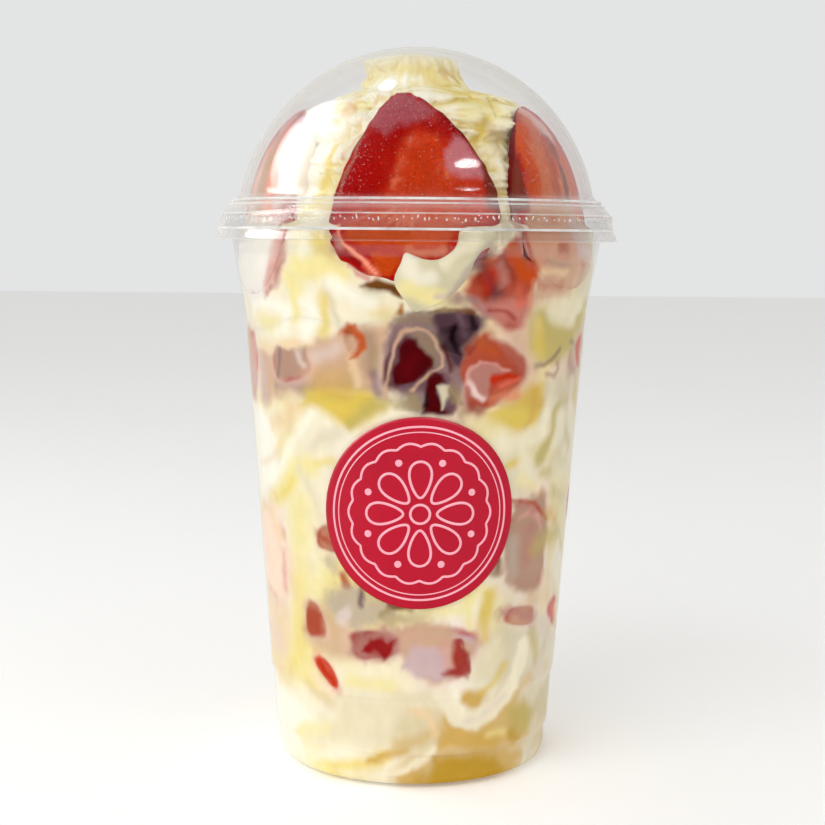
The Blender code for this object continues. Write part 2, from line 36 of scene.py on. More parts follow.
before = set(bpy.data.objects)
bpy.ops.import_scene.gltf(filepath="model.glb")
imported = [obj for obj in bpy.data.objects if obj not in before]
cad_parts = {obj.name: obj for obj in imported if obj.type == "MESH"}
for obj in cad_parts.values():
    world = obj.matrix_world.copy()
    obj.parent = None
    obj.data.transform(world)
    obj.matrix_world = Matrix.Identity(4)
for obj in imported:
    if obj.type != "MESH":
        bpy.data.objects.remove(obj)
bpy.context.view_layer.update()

# ---- sizes shared with the model's source

WALL = 0.6
FIT_GAP = 0.4
INTO_WALL = 0.25
BASE_HOLLOW_R = 24.0
BASE_HOLLOW_Z = 3.2
FOOT_IN_R = 28.0
FOOT_OUT_R = 32.2
FOOT_ROUND = 2.8
LOW_STEP_Z = 8.8
HIGH_STEP_Z = 23.2
STEP_RISE = 0.7
FOOT_WALL_R = 35.3
LOW_STEP_R = 36.15
HIGH_STEP_R = 37.55
HIGH_STEP_UNDER_R = 37.05
FLARE_Z = 117.0
FLARE_R = 44.3
NECK_Z = 133.5
NECK_R = 47.1
BEAD_LOW_Z = 136.4
BEAD_TOP_Z = 140.1
BEAD_R = 49.2
LID_WALL = 0.55
SKIRT_Z = 134.6
SKIRT_R = 51.75
FOLD_Z = 137.3
FOLD_R = 50.45
BAND_TOP_Z = 140.9
BAND_TOP_R = 50.1
LEDGE_Z = 145.9
DOME_R = 46.0
DOME_CENTRE_Z = 137.4
STICKER_R = 23.5
STICKER_ANGLE = 2.0
STICKER_Z = 70.1
STICKER_THICK = 0.25
STICKER_GAP = 0.3
LOW_MEET_Z = 96.0
LOW_MEET_WAVE = 1.5
LOW_MEET_WAVES = 2
LOW_MEET_ANGLE = 40.0
HIGH_MEET_Z = 113.0
HIGH_MEET_TILT = 4.0
HIGH_MEET_TILT_ANGLE = 20.0
LOBE_WAVE = 1.2
LOBES = 9
MOUND = ((137.0, 43.4), (145.0, 40.0), (151.0, 36.0), (156.5, 32.0), (162.0, 28.4), (167.0, 25.0),
         (170.5, 20.6), (172.5, 14.6), (176.5, 12.6), (179.4, 12.4))
MOUND_TOP_Z = 181.6
RUFFLE_PITCH = 10.5
FLUTES = 11
FLUTE_DEPTH = 0.9
FLUTE_TWIST = 1.6
# The mound leans and swells to the right of the front: angle, height, reach of its swelling, and size.
MOUND_SWELL = (72.0, 166.5, 8.0, 3.2)
SLAB_LEFT = 2.0
# Sizes of the mound's lumps, each with its seed.
LUMPS = ((9.0, 33), (4.4, 36), (2.3, 39), (1.2, 42))
# Cells added to the lumps' places, so that none is below zero.
LUMPS_LIFT = 50
# The strand of cream across the front half's foot: its left and right edges, from its upper end down.
STRAND_LEFT = ((15.0, 138.0), (12.8, 137.0), (12.0, 134.4), (10.0, 132.2), (5.6, 130.4), (0.4, 130.8),
               (-3.4, 132.0), (-5.0, 129.4), (-6.6, 126.4), (-6.0, 123.8), (-3.6, 121.2), (-1.6, 119.0))
STRAND_RIGHT = ((21.5, 138.2), (24.4, 136.6), (23.8, 134.0), (20.0, 132.6), (17.8, 130.4), (16.4, 127.8),
                (15.0, 125.6), (12.6, 123.4), (9.4, 121.4), (6.0, 119.8), (2.6, 118.8), (0.2, 118.2))
STRAND_DEPTH = 7.0
# How far the strand stands out past the cream, how steep its edges are, and the depth and slant of its folds.
STRAND_PROUD = 0.28
STRAND_EDGE = 3.0
STRAND_FOLDS = 0.16
STRAND_FOLDS_STEEP = 2.4
# Ridges of the lid: radius, height, thickness and haze; the haze makes them pale lines that are painted
# highlights along the fold, the band's top and the ledge.
LID_RIDGES = ((FOLD_R + 0.05, FOLD_Z + 0.1, 0.34, 0.95), (BAND_TOP_R, BAND_TOP_Z + 0.1, 0.22, 0.45),
              (48.15, 143.35, 0.22, 0.5), (47.3, 144.4, 0.32, 0.8))
DASHES = 190
DASHES_Z = 139.9

# What the names of the model's strawberry nodes begin with.
CAD_BERRY = "strawberry_"
# Strawberry halves round the dome, as in the model's source: angle, lower and upper end, half-width, depth,
# lean, taper, bend, inset.
HALVES = {
    "half_front": (-2.0, 125.4, 170.3, 18.2, 10.0, -2.8, 0.5, -3.4, 1.0),
    "half_right": (57.2, 122.6, 168.0, 17.0, 8.5, 9.0, 0.22, -2.2, 2.2),
    "half_right_back": (116.0, 125.0, 167.0, 16.6, 9.5, -2.0, 0.46, 1.0, 1.6),
    "half_back": (176.0, 124.0, 168.6, 18.0, 10.0, 3.0, 0.42, -1.6, 1.2),
    "half_left_back": (235.0, 126.0, 167.5, 17.0, 9.5, -4.0, 0.5, 1.4, 1.8),
    "half_left": (-66.0, 121.5, 167.5, 16.6, 9.5, 4.0, 0.46, 0.0, 1.6),
}
INSET_FROM_Z = 130.0
INSET_FULL_Z = 146.0
HALF_BEND_FROM = 0.35
HALF_CORNER = 1.0
HALF_UNEVEN = 0.02
HALF_EDGE_ROUND = 1.1

# Cut pieces against the wall: angle, height, half-width, half-height, depth, lean, taper.
PIECES = {
    "chunk_shoulder": (28.0, 122.2, 8.6, 6.9, 7.5, 20.0, 0.2),
    "chunk_window": (-2.4, 106.5, 5.3, 7.2, 6.5, -8.0, 0.3),
    "chunk_dark": (9.1, 98.6, 3.0, 5.0, 5.0, 0.0, 0.1),
    "chunk_bubble": (26.0, 104.2, 8.0, 7.2, 8.0, -25.0, 0.35),
    "chunk_block": (-45.0, 104.4, 6.2, 3.8, 5.0, 0.0, 0.0),
    "slice_left_high": (-73.0, 104.5, 5.0, 7.8, 5.5, 6.0, 0.1),
    "slice_left": (-66.0, 56.0, 9.4, 11.8, 6.5, -4.0, 0.1),
    "bit_upper": (-31.0, 62.6, 3.4, 3.4, 4.0, 0.0, 0.0),
    "bit_left": (-39.0, 41.4, 2.9, 4.4, 4.0, -12.0, 0.1),
    "chunk_low": (-14.5, 37.0, 6.4, 3.5, 5.0, -6.0, 0.0),
    "bit_streak": (-34.2, 28.6, 1.8, 4.4, 3.0, -42.0, 0.0),
    "slice_pale": (9.5, 35.2, 8.8, 6.9, 6.5, 4.0, -0.15),
    "slice_right": (45.6, 61.2, 7.7, 12.1, 6.0, 0.0, 0.2),
    "bit_right": (43.5, 42.4, 5.2, 2.5, 3.5, 8.0, 0.0),
}
FAR_ROWS = (
    dict(name="far_high", start=76.0, step=37.0, count=6, height=104.0, rise=2.6, size=(6.2, 6.6)),
    dict(name="far_middle", start=88.0, step=51.0, count=4, height=62.5, rise=4.5, size=(6.6, 8.6)),
    dict(name="far_low", start=72.0, step=53.0, count=4, height=36.5, rise=3.0, size=(6.8, 5.0)),
)
FAR_DEPTH = 6.0
FAR_LEAN = 24.0
FAR_UNEVEN = 0.22
FAR_TAPER = 0.15
# Along a row the far pieces swing aside, rise and lean by waves of their number, in radians a piece.
FAR_SWING = 2.4
FAR_SWING_START = 1.1
FAR_SWING_ANGLE = 3.0
FAR_RISE_WAVE = 2.9
FAR_LEAN_WAVE = 1.7
PIECE_CORNER = 0.8
PIECE_UNEVEN = 0.07
# Faces against the wall are pressed into the plastic, and their rims dip under the cream.
PRESS_UP_TO_Z = 132.0
PRESS_FADE = 8.0
PRESS_MORE = 0.08
RIM_DIP = 0.12
# The wall is sought this far before and behind a piece's frame, by this many halvings.
WALL_SEARCH = 25.0
HALVINGS = 30
# A place deeper than this behind the frame isn't on the piece, and counts as this far out.
FRAME_DEPTH = 12.0
NOT_ON_PIECE = 9.0
NARROWEST = 0.2
# Seeds: where those of the faces and of the backs begin, and how far apart two pieces' seeds are.
FACE_SEEDS = 200
BACK_SEEDS = 100
SEED_STEP = 10

# Air pockets at the wall: angle, height, half-width, half-height, depth, lean.
POCKETS = (
    (13.2, 111.6, 6, 3.6, 7, 14),
    (-20.8, 111.2, 1.7, 3.6, 3, -12),
    (-10.5, 123.4, 5.4, 1.2, 2.6, -4),
)

# ---- fineness of the new surfaces

FRONT_COLUMNS = 360
FAR_COLUMNS = 168
FRONT_REACH = 82.0
MARBLED_ROWS = 176
LAYER_ROWS = 56
SHOULDER_ROWS = 60
MOUND_ROWS = 118
STRAND_ROWS = 110
STRAND_SIDES = 64
SHELL_COLUMNS = 256
HALF_SIDES = 160
HALF_FACE_RINGS = 56
HALF_BACK_RINGS = 22
PIECE_SIDES = 72
PIECE_FACE_RINGS = 22
PIECE_BACK_RINGS = 8
NOISE_ROWS = 96
# Turns and cells added to places before noise is looked up, so that none is below zero.
NOISE_TURNS = 4
NOISE_LIFT = 8

# ---- paints


def paint(red, green, blue):
    """A display colour from 0 to 255 as the linear light that shaders work in."""
    shown = np.array((red, green, blue), float) / 255.0
    return np.where(shown <= 0.04045, shown / 12.92, ((shown + 0.055) / 1.055) ** 2.4)


# Colours as a display shows them, from 0 to 255.
SHOWN = {
    # creams, from bright to dull
    "white": (253, 247, 230),
    "cream": (243, 233, 205),
    "ivory": (232, 220, 186),
    "fog": (212, 200, 172),
    "shade": (214, 196, 152),
    "pearl": (224, 206, 196),
    "grey": (186, 168, 154),
    # yellows
    "lemon": (242, 228, 160),
    "yellow": (236, 214, 118),
    "corn": (222, 194, 90),
    "gold": (210, 170, 86),
    "ochre": (192, 152, 52),
    "olive": (192, 174, 98),
    "khaki": (166, 146, 98),
    "bronze": (172, 112, 34),
    "umber": (118, 70, 22),
    # pinks and tans
    "sand": (238, 210, 166),
    "peach": (253, 222, 198),
    "tan": (208, 168, 138),
    "fawn": (182, 146, 124),
    "drab": (148, 124, 100),
    "blush": (238, 206, 198),
    "rose": (218, 158, 146),
    "dusk": (184, 128, 118),
    "lilac": (208, 180, 180),
    "mauve": (152, 118, 118),
    "heather": (116, 88, 98),
    "plum": (76, 48, 60),
    "black": (26, 6, 12),
    # strawberry
    "salmon": (224, 138, 104),
    "coral": (226, 108, 84),
    "brick": (176, 76, 52),
    "rust": (192, 86, 36),
    "orange": (204, 76, 16),
    "flame": (196, 44, 8),
    "red": (182, 8, 4),
    "crimson": (150, 10, 14),
    "wine": (112, 6, 14),
    "maroon": (78, 2, 6),
    "skin": (160, 18, 16),
    "cherry": (160, 0, 0),
    "garnet": (128, 60, 56),
    "ember": (186, 48, 2),
    "sienna": (122, 46, 28),
    "clay": (204, 112, 76),
    "camel": (192, 146, 110),
    "biscuit": (208, 150, 120),
    "shell": (248, 160, 130),
    # painted reflections on the halves: a sheen on the tips and a halo of light round the glint
    "frost": (166, 82, 90),
    "halo": (194, 120, 126),
    "chalk": (244, 237, 226),
    "putty": (206, 197, 162),
    # sticker and floor
    "label_red": (186, 8, 42),
    "label_pink": (255, 176, 190),
    "floor": (244, 243, 240),
}
PAINTS = {name: paint(*colour) for name, colour in SHOWN.items()}


# ---- small tools


def around(angle, radius, height):
    """Points at an angle from the front, as an array whose last axis is x, y, z."""
    turn = np.radians(angle)
    x, y, z = np.broadcast_arrays(radius * np.sin(turn), -radius * np.cos(turn), height)
    return np.stack((x, y, z), -1)


def step(value):
    """Smooth step: 0 below 0, 1 above 1, and 3v^2 - 2v^3 between."""
    v = np.clip(value, 0.0, 1.0)
    return v * v * (3.0 - 2.0 * v)


def noise(u, v, seed, wrap=None):
    """Smooth noise from -1 to 1: random values at whole numbers of u and v, joined by smooth steps.

    With a wrap, the pattern closes on itself after that many cells of u.
    """
    columns = wrap or NOISE_ROWS
    table = np.random.default_rng(seed).uniform(-1.0, 1.0, (NOISE_ROWS, columns))
    i, j = np.floor(u).astype(int), np.floor(v).astype(int)
    a, b = step(u - i), step(v - j)
    i0, i1, j0, j1 = i % columns, (i + 1) % columns, j % NOISE_ROWS, (j + 1) % NOISE_ROWS
    low = table[j0, i0] * (1 - a) + table[j0, i1] * a
    high = table[j1, i0] * (1 - a) + table[j1, i1] * a
    return low * (1 - b) + high * b


def wall_noise(angle, height, cells, pitch, seed):
    """Noise round the cup with a number of cells in a turn and a cell's height in millimetres."""
    u = np.asarray(angle) / 360.0 * cells + NOISE_TURNS * cells
    return noise(u, np.asarray(height) / pitch + NOISE_LIFT, seed, wrap=cells)


def added_noise(value, angle, height, layers):
    """A value with noise of several sizes added: amount, cells in a turn, cell's height and seed of each."""
    for amount, cells, pitch, seed in layers:
        value = value + amount * wall_noise(angle, height, cells, pitch, seed)
    return value


def grid_quads(rows, columns, start=0, closed=False):
    """Quads between rows of points that each close on themselves; closed joins the last row to the first."""
    column = np.arange(columns)
    after = (column + 1) % columns
    row = np.arange(rows if closed else rows - 1)[:, None]
    low, high = start + row * columns, start + (row + 1) % rows * columns
    return np.stack((low + column, low + after, high + after, high + column), -1).reshape(-1, 4)


def fan(tip, start, columns, flip=False):
    """Triangles from one tip to a closed ring of points; flip turns them over."""
    column = np.arange(columns)
    after = (column + 1) % columns
    ring = (start + after, start + column) if flip else (start + column, start + after)
    return np.stack((np.full(columns, tip), *ring), -1)


# Mean light of a paint up to which it counts as deep, and how much more makes it pale.
DEEP_UP_TO = 0.15
DEEP_TO_PALE = 0.3


def make_piece(name, points, quads, triangles, look, nodes, colours=None, values=None):
    """A mesh object at the origin from arrays in millimetres, with its paint and values on its points.

    The paint's fourth value says how much a fine speckle shows there: all on deep colours, none on pale ones.
    """
    mesh = bpy.data.meshes.new(name)
    corners = np.concatenate([quads.ravel(), triangles.ravel()]).astype(np.int32)
    totals = np.concatenate([np.full(len(quads), 4), np.full(len(triangles), 3)]).astype(np.int32)
    mesh.vertices.add(len(points))
    mesh.vertices.foreach_set("co", (np.asarray(points, float) * MM).astype(np.float32).ravel())
    mesh.loops.add(len(corners))
    mesh.loops.foreach_set("vertex_index", corners)
    mesh.polygons.add(len(totals))
    mesh.polygons.foreach_set("loop_start", (np.cumsum(totals) - totals).astype(np.int32))
    mesh.polygons.foreach_set("loop_total", totals)
    mesh.update(calc_edges=True)
    mesh.validate()
    if colours is not None:
        layer = mesh.attributes.new("paint", "FLOAT_COLOR", "POINT")
        speckled = 1.0 - step((np.mean(colours, 1, keepdims=True) - DEEP_UP_TO) / DEEP_TO_PALE)
        full = np.concatenate([colours, speckled], 1)
        layer.data.foreach_set("color", full.astype(np.float32).ravel())
    for key, value in (values or {}).items():
        mesh.attributes.new(key, "FLOAT", "POINT").data.foreach_set("value", value.astype(np.float32).ravel())
    mesh.shade_smooth()
    mesh.materials.append(look)
    made = bpy.data.objects.new(name, mesh)
    bpy.context.scene.collection.objects.link(made)
    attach(made, "root")
    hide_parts(*nodes)
    return made


# ---- the cup's shape

CUP_WALL = ((FOOT_ROUND, FOOT_WALL_R), (LOW_STEP_Z - STEP_RISE / 2, FOOT_WALL_R),
            (LOW_STEP_Z + STEP_RISE / 2, LOW_STEP_R), (HIGH_STEP_Z - STEP_RISE / 2, HIGH_STEP_UNDER_R),
            (HIGH_STEP_Z + STEP_RISE / 2, HIGH_STEP_R), (FLARE_Z, FLARE_R), (NECK_Z, NECK_R))


def cup_outer(height):
    """Radius of the cup's outer wall: straight lines between its named heights."""
    return np.interp(height, [p[0] for p in CUP_WALL], [p[1] for p in CUP_WALL])


def contents_reach(height):
    """How far the contents may reach from the axis: the wall's or the dome's inside, less a gap."""
    above = np.maximum(np.asarray(height, float) - DOME_CENTRE_Z, 0.0)
    dome = np.sqrt(np.maximum((DOME_R - LID_WALL) ** 2 - above ** 2, 0.0))
    return np.minimum(cup_outer(height) - WALL, dome) - FIT_GAP


def low_meeting(angle):
    """Height at the wall where the marbled cream meets the looser layer."""
    return LOW_MEET_Z + LOW_MEET_WAVE * np.cos(np.radians(LOW_MEET_WAVES * angle + LOW_MEET_ANGLE))


def high_meeting(angle):
    """Height at the wall where the looser layer meets the whipped top, with the lobes of the piping."""
    tilt = HIGH_MEET_TILT * np.cos(np.radians(angle - HIGH_MEET_TILT_ANGLE))
    return HIGH_MEET_Z + tilt + LOBE_WAVE * np.cos(np.radians(LOBES * angle))


# ---- pieces pressed against the wall


class WallPatch:
    """A flat frame laid against the inside of the wall, on which an outline is drawn.

    Across runs to the right seen from outside, along runs up the wall, and out points at the wall.
    """

    def __init__(self, angle, low, high, lean=0.0, inset=0.0):
        bottom = around(angle, contents_reach(low), low)
        top = around(angle, contents_reach(high), high)
        self.centre = (bottom + top) / 2
        self.half_length = float(np.linalg.norm(top - bottom)) / 2
        up = (top - bottom) / np.linalg.norm(top - bottom)
        right = around(angle + 90.0, 1.0, 0.0)
        self.out = np.cross(right, up)
        turn = math.radians(lean)
        self.along = math.cos(turn) * up + math.sin(turn) * right
        self.across = math.cos(turn) * right - math.sin(turn) * up
        self.inset = inset

    def to_wall(self, across, along):
        """How far the wall, less the inset, lies in front of the frame, found by halving for all at once."""
        start = self.centre + across[..., None] * self.across + along[..., None] * self.along
        near, far = np.full(across.shape, -WALL_SEARCH), np.full(across.shape, WALL_SEARCH)
        for _ in range(HALVINGS):
            middle = (near + far) / 2
            point = start + middle[..., None] * self.out
            share = (point[..., 2] - INSET_FROM_Z) / (INSET_FULL_Z - INSET_FROM_Z)
            room = contents_reach(point[..., 2]) - self.inset * np.clip(share, 0.0, 1.0)
            below = point[..., 2] < DOME_CENTRE_Z + DOME_R
            inside = (np.hypot(point[..., 0], point[..., 1]) < room) & below
            near, far = np.where(inside, middle, near), np.where(inside, far, middle)
        return near

    def point(self, across, along, out):
        """The point of space at a place on the frame, moved outwards."""
        return (self.centre + across[..., None] * self.across + along[..., None] * self.along
                + out[..., None] * self.out)

    def place(self, points):
        """Across, along and out of points of space."""
        away = points - self.centre
        return away @ self.across, away @ self.along, away @ self.out


class Berry:
    """One piece of strawberry: its patch of wall, its outline and how it is coloured."""

    def __init__(self, name, patch, size, depth, form, half):
        self.name = name
        self.patch = patch
        self.size = size
        self.depth = depth
        self.form = form
        self.half = half

    def outline(self, turn):
        """Egg-shaped outline: boxier for a corner power under one, uneven by a wave thrice round, bent."""
        half_width, half_length = self.size
        taper, corner, uneven, phase, bend = self.form
        swell = 1.0 + uneven * np.sin(3 * turn + phase)
        across = np.copysign(np.abs(np.sin(turn)) ** corner, np.sin(turn))
        along = np.copysign(np.abs(np.cos(turn)) ** corner, np.cos(turn))
        aside = bend * (along ** 2 - HALF_BEND_FROM)
        return half_width * swell * across * (1.0 - taper * along) + aside, half_length * swell * along

    def share(self, across, along):
        """How far out a place lies: 0 in the middle of the outline and 1 on it."""
        half_width, half_length = self.size
        taper, corner, uneven, phase, bend = self.form
        v = along / half_length
        u = across - bend * (np.minimum(v ** 2, 1.0) - HALF_BEND_FROM)
        u = u / (half_width * np.maximum(1.0 - taper * np.clip(v, -1.0, 1.0), NARROWEST))
        turn = np.arctan2(u, v)
        share = (np.abs(u) ** (2 / corner) + np.abs(v) ** (2 / corner)) ** (corner / 2)
        return share / (1.0 + uneven * np.sin(3 * turn + phase))

    def find(self, places):
        """Where places of space lie on this piece: across it, along it, and how far out."""
        across, along, out = self.patch.place(places)
        return across, along, np.where(out > -FRAME_DEPTH, self.share(across, along), NOT_ON_PIECE)


def all_berries():
    """Every strawberry half and cut piece by name, with the same places as the model's."""
    found = []
    for phase, (name, half) in enumerate(HALVES.items()):
        angle, low, high, half_width, depth, lean, taper, bend, inset = half
        patch = WallPatch(angle, low, high, lean, inset)
        form = (taper, HALF_CORNER, HALF_UNEVEN, phase, bend)
        found.append(Berry(name, patch, (half_width, patch.half_length), depth, form, True))
    for phase, (name, piece) in enumerate(PIECES.items()):
        angle, height, half_width, half_height, depth, lean, taper = piece
        patch = WallPatch(angle, height - half_height, height + half_height, lean)
        form = (taper, PIECE_CORNER, PIECE_UNEVEN, phase, 0.0)
        found.append(Berry(name, patch, (half_width, half_height), depth, form, False))
    for row in FAR_ROWS:
        for index in range(row["count"]):
            swing = math.sin(FAR_SWING * index + FAR_SWING_START)
            angle = row["start"] + row["step"] * index + FAR_SWING_ANGLE * swing
            height = row["height"] + row["rise"] * math.cos(FAR_RISE_WAVE * index)
            half_width = row["size"][0] * (1.0 + FAR_UNEVEN * swing)
            half_height = row["size"][1] * (1.0 - FAR_UNEVEN * swing)
            lean = FAR_LEAN * math.cos(FAR_LEAN_WAVE * index)
            patch = WallPatch(angle, height - half_height, height + half_height, lean)
            form = (FAR_TAPER, PIECE_CORNER, PIECE_UNEVEN, index, 0.0)
            name = "%s_%d" % (row["name"], index + 1)
            found.append(Berry(name, patch, (half_width, half_height), FAR_DEPTH, form, False))
    return found


def air_pockets():
    """The air pockets at the wall, as outlines that nothing fills."""
    found = []
    for index, (angle, height, half_width, half_height, depth, lean) in enumerate(POCKETS):
        patch = WallPatch(angle, height - half_height, height + half_height, lean)
        form = (0.0, PIECE_CORNER, PIECE_UNEVEN, index, 0.0)
        found.append(Berry("pocket", patch, (half_width, half_height), depth, form, False))
    return found


BERRIES = all_berries()
AIR = air_pockets()

# ---- brush strokes on the cream

FILL = 0.0
# Each entry is a paint, its strength, the half-width of a brush stroke or FILL for an area, how soft its
# edge is, and the (angle, height) points that the stroke runs through or that go round the area.
FOOT_SWIRLS = (
    ("white", 0.9, FILL, 6, (-80, 9), (-80, 21), (-52, 21), (-40, 18), (-36, 14), (-44, 11), (-60, 9)),
    ("ivory", 0.8, FILL, 5, (-40, 10), (-42, 22), (-28, 25), (-8, 24), (-5, 12), (-12, 10.5)),
    ("white", 0.6, 3, 4, (-60, 5), (-40, 6), (-26, 8.5)),
    ("lemon", 0.7, 1.2, 2.2, (-54, 10), (-44, 12.5), (-37, 14.5)),
    ("yellow", 0.8, 1.6, 2.4, (-37, 3.5), (-26, 5), (-18, 6.5), (-12, 8.5)),
    ("gold", 0.9, 1.2, 1.8, (-17, 7.5), (-11, 9), (-3, 10.5)),
    ("lemon", 0.7, 1.4, 2.4, (-50, -0.5), (-40, 2.5)),
    ("khaki", 0.6, 1.5, 2.4, (-8, 2.5), (1, 3)),
    ("gold", 0.8, FILL, 5, (24, 9), (24, 19), (40, 22), (58, 16), (56, 8)),
    ("gold", 0.8, FILL, 3, (-9, 4), (-3, 8), (5, 10), (6, -2), (-8, -3)),
    ("ochre", 1, FILL, 5, (1, 2), (8, 9.6), (26, 10.2), (36, 8), (48, 4), (46, -3), (2, -3)),
    ("gold", 0.6, 1.4, 2.4, (40, 6), (52, 4)),
    ("gold", 0.95, FILL, 2.4, (10, 10), (9, 16), (12, 22), (16, 18), (24, 15.5), (33, 15), (38, 11), (34, 8),
     (27, 10.3)),
    ("shade", 0.7, FILL, 3, (-8, 11), (-6, 17), (-2, 21.5), (4, 22.5), (9, 21), (12, 17), (10, 11),
     (0, 10)),
    ("gold", 0.5, 1.4, 2.2, (-6, 12), (2, 13), (8, 16)),
    ("sand", 0.8, 1.2, 1.6, (0, 21), (5, 19.5), (9, 15)),
    ("cream", 0.9, 1.1, 1.4, (-14, 3), (-4, 5), (4, 8), (9, 10.4)),
    ("ivory", 0.9, 1.5, 1.6, (-6, 25), (6, 24.5), (10, 23)),
    ("gold", 0.4, 2.2, 2.6, (32, 11), (42, 9), (50, 4)),
    ("lemon", 0.6, 1.1, 2, (31, 13), (38, 12.3)),
    ("olive", 0.85, FILL, 3, (42, 12.5), (41, 19), (50, 20), (58, 17.5), (60, 14), (52, 11.5)),
    ("ochre", 0.8, 1.2, 2, (42, 12), (46.5, 10.4)),
    ("gold", 0.5, 1.6, 2.2, (42, 21), (46, 23.5), (52, 25)),
    # The dull fog over the right side is painted shade, on the side away from the key light.
    ("fog", 0.6, FILL, 6, (57, 0), (58, 30), (84, 30), (84, 0)),
    ("pearl", 0.35, 2, 3, (58, 27), (68, 22)),
)
U_SWOOSH = (
    ("fog", 0.5, FILL, 3, (20, 38), (19, 29), (24, 26), (33, 27), (42, 33), (46, 38), (34, 40)),
    ("ivory", 0.8, FILL, 2.4, (22, 37), (21, 29), (30, 28), (38, 33), (36, 38)),
    ("gold", 0.95, 2, 1.8, (21, 24.3), (26, 22.8)),
    ("corn", 0.7, 0.9, 1.8, (27, 24.5), (33, 27), (38, 31)),
    ("cream", 0.95, 2.2, 1.2, (9, 27), (13, 22.5), (18, 19), (25, 17.8), (33, 19.3), (39, 23), (44, 28),
     (48, 34)),
    ("pearl", 0.4, 0.9, 1.6, (20, 17.9), (28, 18.2), (37, 22.5)),
    ("olive", 0.6, 1.4, 2, (51.5, 37), (53.5, 34), (55.5, 30)),
    ("pearl", 0.7, 2.6, 3, (60, 37), (72, 33)),
)
SIDE_SWIRLS = (
    ("sand", 0.7, FILL, 6, (-80, 36), (-78, 52), (-58, 46), (-50, 36), (-52, 26), (-66, 24), (-78, 28)),
    ("lemon", 0.9, 3.2, 5, (-63, 27), (-52, 28.5), (-46, 34), (-45.5, 46), (-46, 60), (-44, 70)),
    ("yellow", 0.6, 1.8, 3.4, (-57, 27), (-48, 31), (-46.5, 40), (-48, 50)),
    ("blush", 0.5, 3, 5, (-74, 34), (-64, 31)),
    ("sand", 0.6, 1.6, 3.4, (-68, 25), (-58, 26)),
    ("white", 0.6, 2.4, 3.4, (-47, 21.5), (-36, 18.5)),
    ("gold", 0.35, 1.8, 3, (-43, 22.5), (-36, 21)),
    ("lemon", 0.8, 1.4, 2.2, (-23, 27.5), (-14, 27.3), (-8, 27)),
    ("tan", 0.8, FILL, 3.4, (-45, 37), (-42, 45), (-36, 45), (-26, 42.5), (-21, 40), (-20, 34), (-30, 32.5),
     (-38, 33)),
    ("white", 0.95, FILL, 4, (-80, 68), (-80, 92), (-70, 93.5), (-62, 91), (-60, 84), (-58, 78), (-60, 71),
     (-68, 69)),
    ("sand", 0.5, 0.8, 1.8, (-72, 78.5), (-62, 80), (-54, 84), (-46, 90), (-41, 95)),
    ("white", 0.8, 1.6, 2.2, (-70, 73), (-60, 75.5), (-50, 80.5), (-42, 87), (-36, 92.5)),
    ("sand", 0.8, 2, 2.6, (-57, 89.5), (-49, 90), (-43, 94)),
    ("lemon", 0.9, 2.6, 2.6, (-62, 69), (-54, 72), (-47, 77), (-41, 82), (-37, 80)),
    ("yellow", 0.8, 1.6, 2.6, (-57, 70.5), (-49, 73.5), (-46, 76)),
    ("ivory", 0.7, 1.2, 2, (-43, 79), (-37, 74), (-35, 68)),
    ("yellow", 0.7, 1, 1.8, (-34, 81), (-28, 82.5)),
    ("fog", 0.5, 1.8, 2.6, (-35, 86), (-25, 89)),
    ("cream", 0.9, 2, 2.4, (-42, 84), (-34, 90), (-32, 94)),
    ("corn", 1, FILL, 3, (-41, 95), (-38, 99.5), (-30, 101), (-20, 100), (-12, 98.5), (-10, 95),
     (-14, 92), (-21, 90), (-27, 92.5), (-34, 95)),
    ("gold", 0.5, 1.8, 3, (-30, 99.5), (-22, 99.8)),
    ("olive", 0.75, 1.6, 2.2, (-20, 91.5), (-14, 94.5), (-9, 97)),
    ("sand", 0.6, 1.4, 2.4, (-58, 95.3), (-50, 96.8), (-44, 96)),
    ("corn", 0.95, FILL, 2.4, (23, 94.5), (32, 90.5), (38, 87.8), (46, 89.3), (48.5, 95), (47, 100),
     (38, 99.5), (32, 97)),
    ("gold", 0.85, 0.9, 1.8, (42.5, 98), (43, 92), (40, 89)),
    ("cream", 0.8, 2.6, 2.8, (31, 87), (40, 86), (47, 88)),
    ("corn", 0.8, 0.9, 1.4, (33, 81.5), (38.5, 82)),
    ("cream", 0.6, 1.8, 2.4, (40, 82), (45, 77.5), (54, 74)),
    ("lemon", 0.6, 1.4, 2, (39, 77.5), (50, 72.5)),
    ("olive", 0.8, 1.5, 1.7, (48.5, 81.5), (53, 86), (55, 92), (60, 97)),
    ("cream", 0.8, 1.7, 2, (50.5, 88), (51, 98)),
    ("cream", 0.7, 2.4, 2.6, (59, 85), (62, 91), (74, 91)),
    ("shade", 0.5, 1.2, 2, (56, 80), (66, 86)),
    ("olive", 0.6, 1.1, 1.7, (50, 77.6), (59, 78)),
    ("cream", 0.6, 2, 2.6, (60, 78), (74, 77)),
    ("olive", 0.6, 1.4, 2, (60, 71.5), (72, 69)),
    ("corn", 0.9, 1.9, 2, (26.5, 38.5), (27.2, 44), (28.3, 49.5)),
    ("lemon", 0.8, 1.3, 1.6, (20.5, 50), (21.5, 40)),
    ("lemon", 0.7, 1.5, 2, (10, 45.5), (18, 46.5), (25, 52)),
    ("gold", 0.5, 2.4, 3, (46, 54), (49, 48), (48, 43)),
    ("gold", 0.4, 1.6, 2.4, (60, 45), (67, 44)),
    ("sand", 0.7, 1.4, 2, (57, 50), (58.5, 42)),
    ("white", 0.95, FILL, 3, (62, 52.5), (66, 57.5), (74, 57), (79, 50), (76, 45.5), (68, 47.5)),
    ("fawn", 0.7, 0.6, 1.2, (65, 62.5), (75, 57)),
    # The dull fog over the right side is painted shade, on the side away from the key light.
    ("fog", 0.55, FILL, 6, (57, 28), (60, 60), (59, 96), (86, 96), (86, 28)),
)
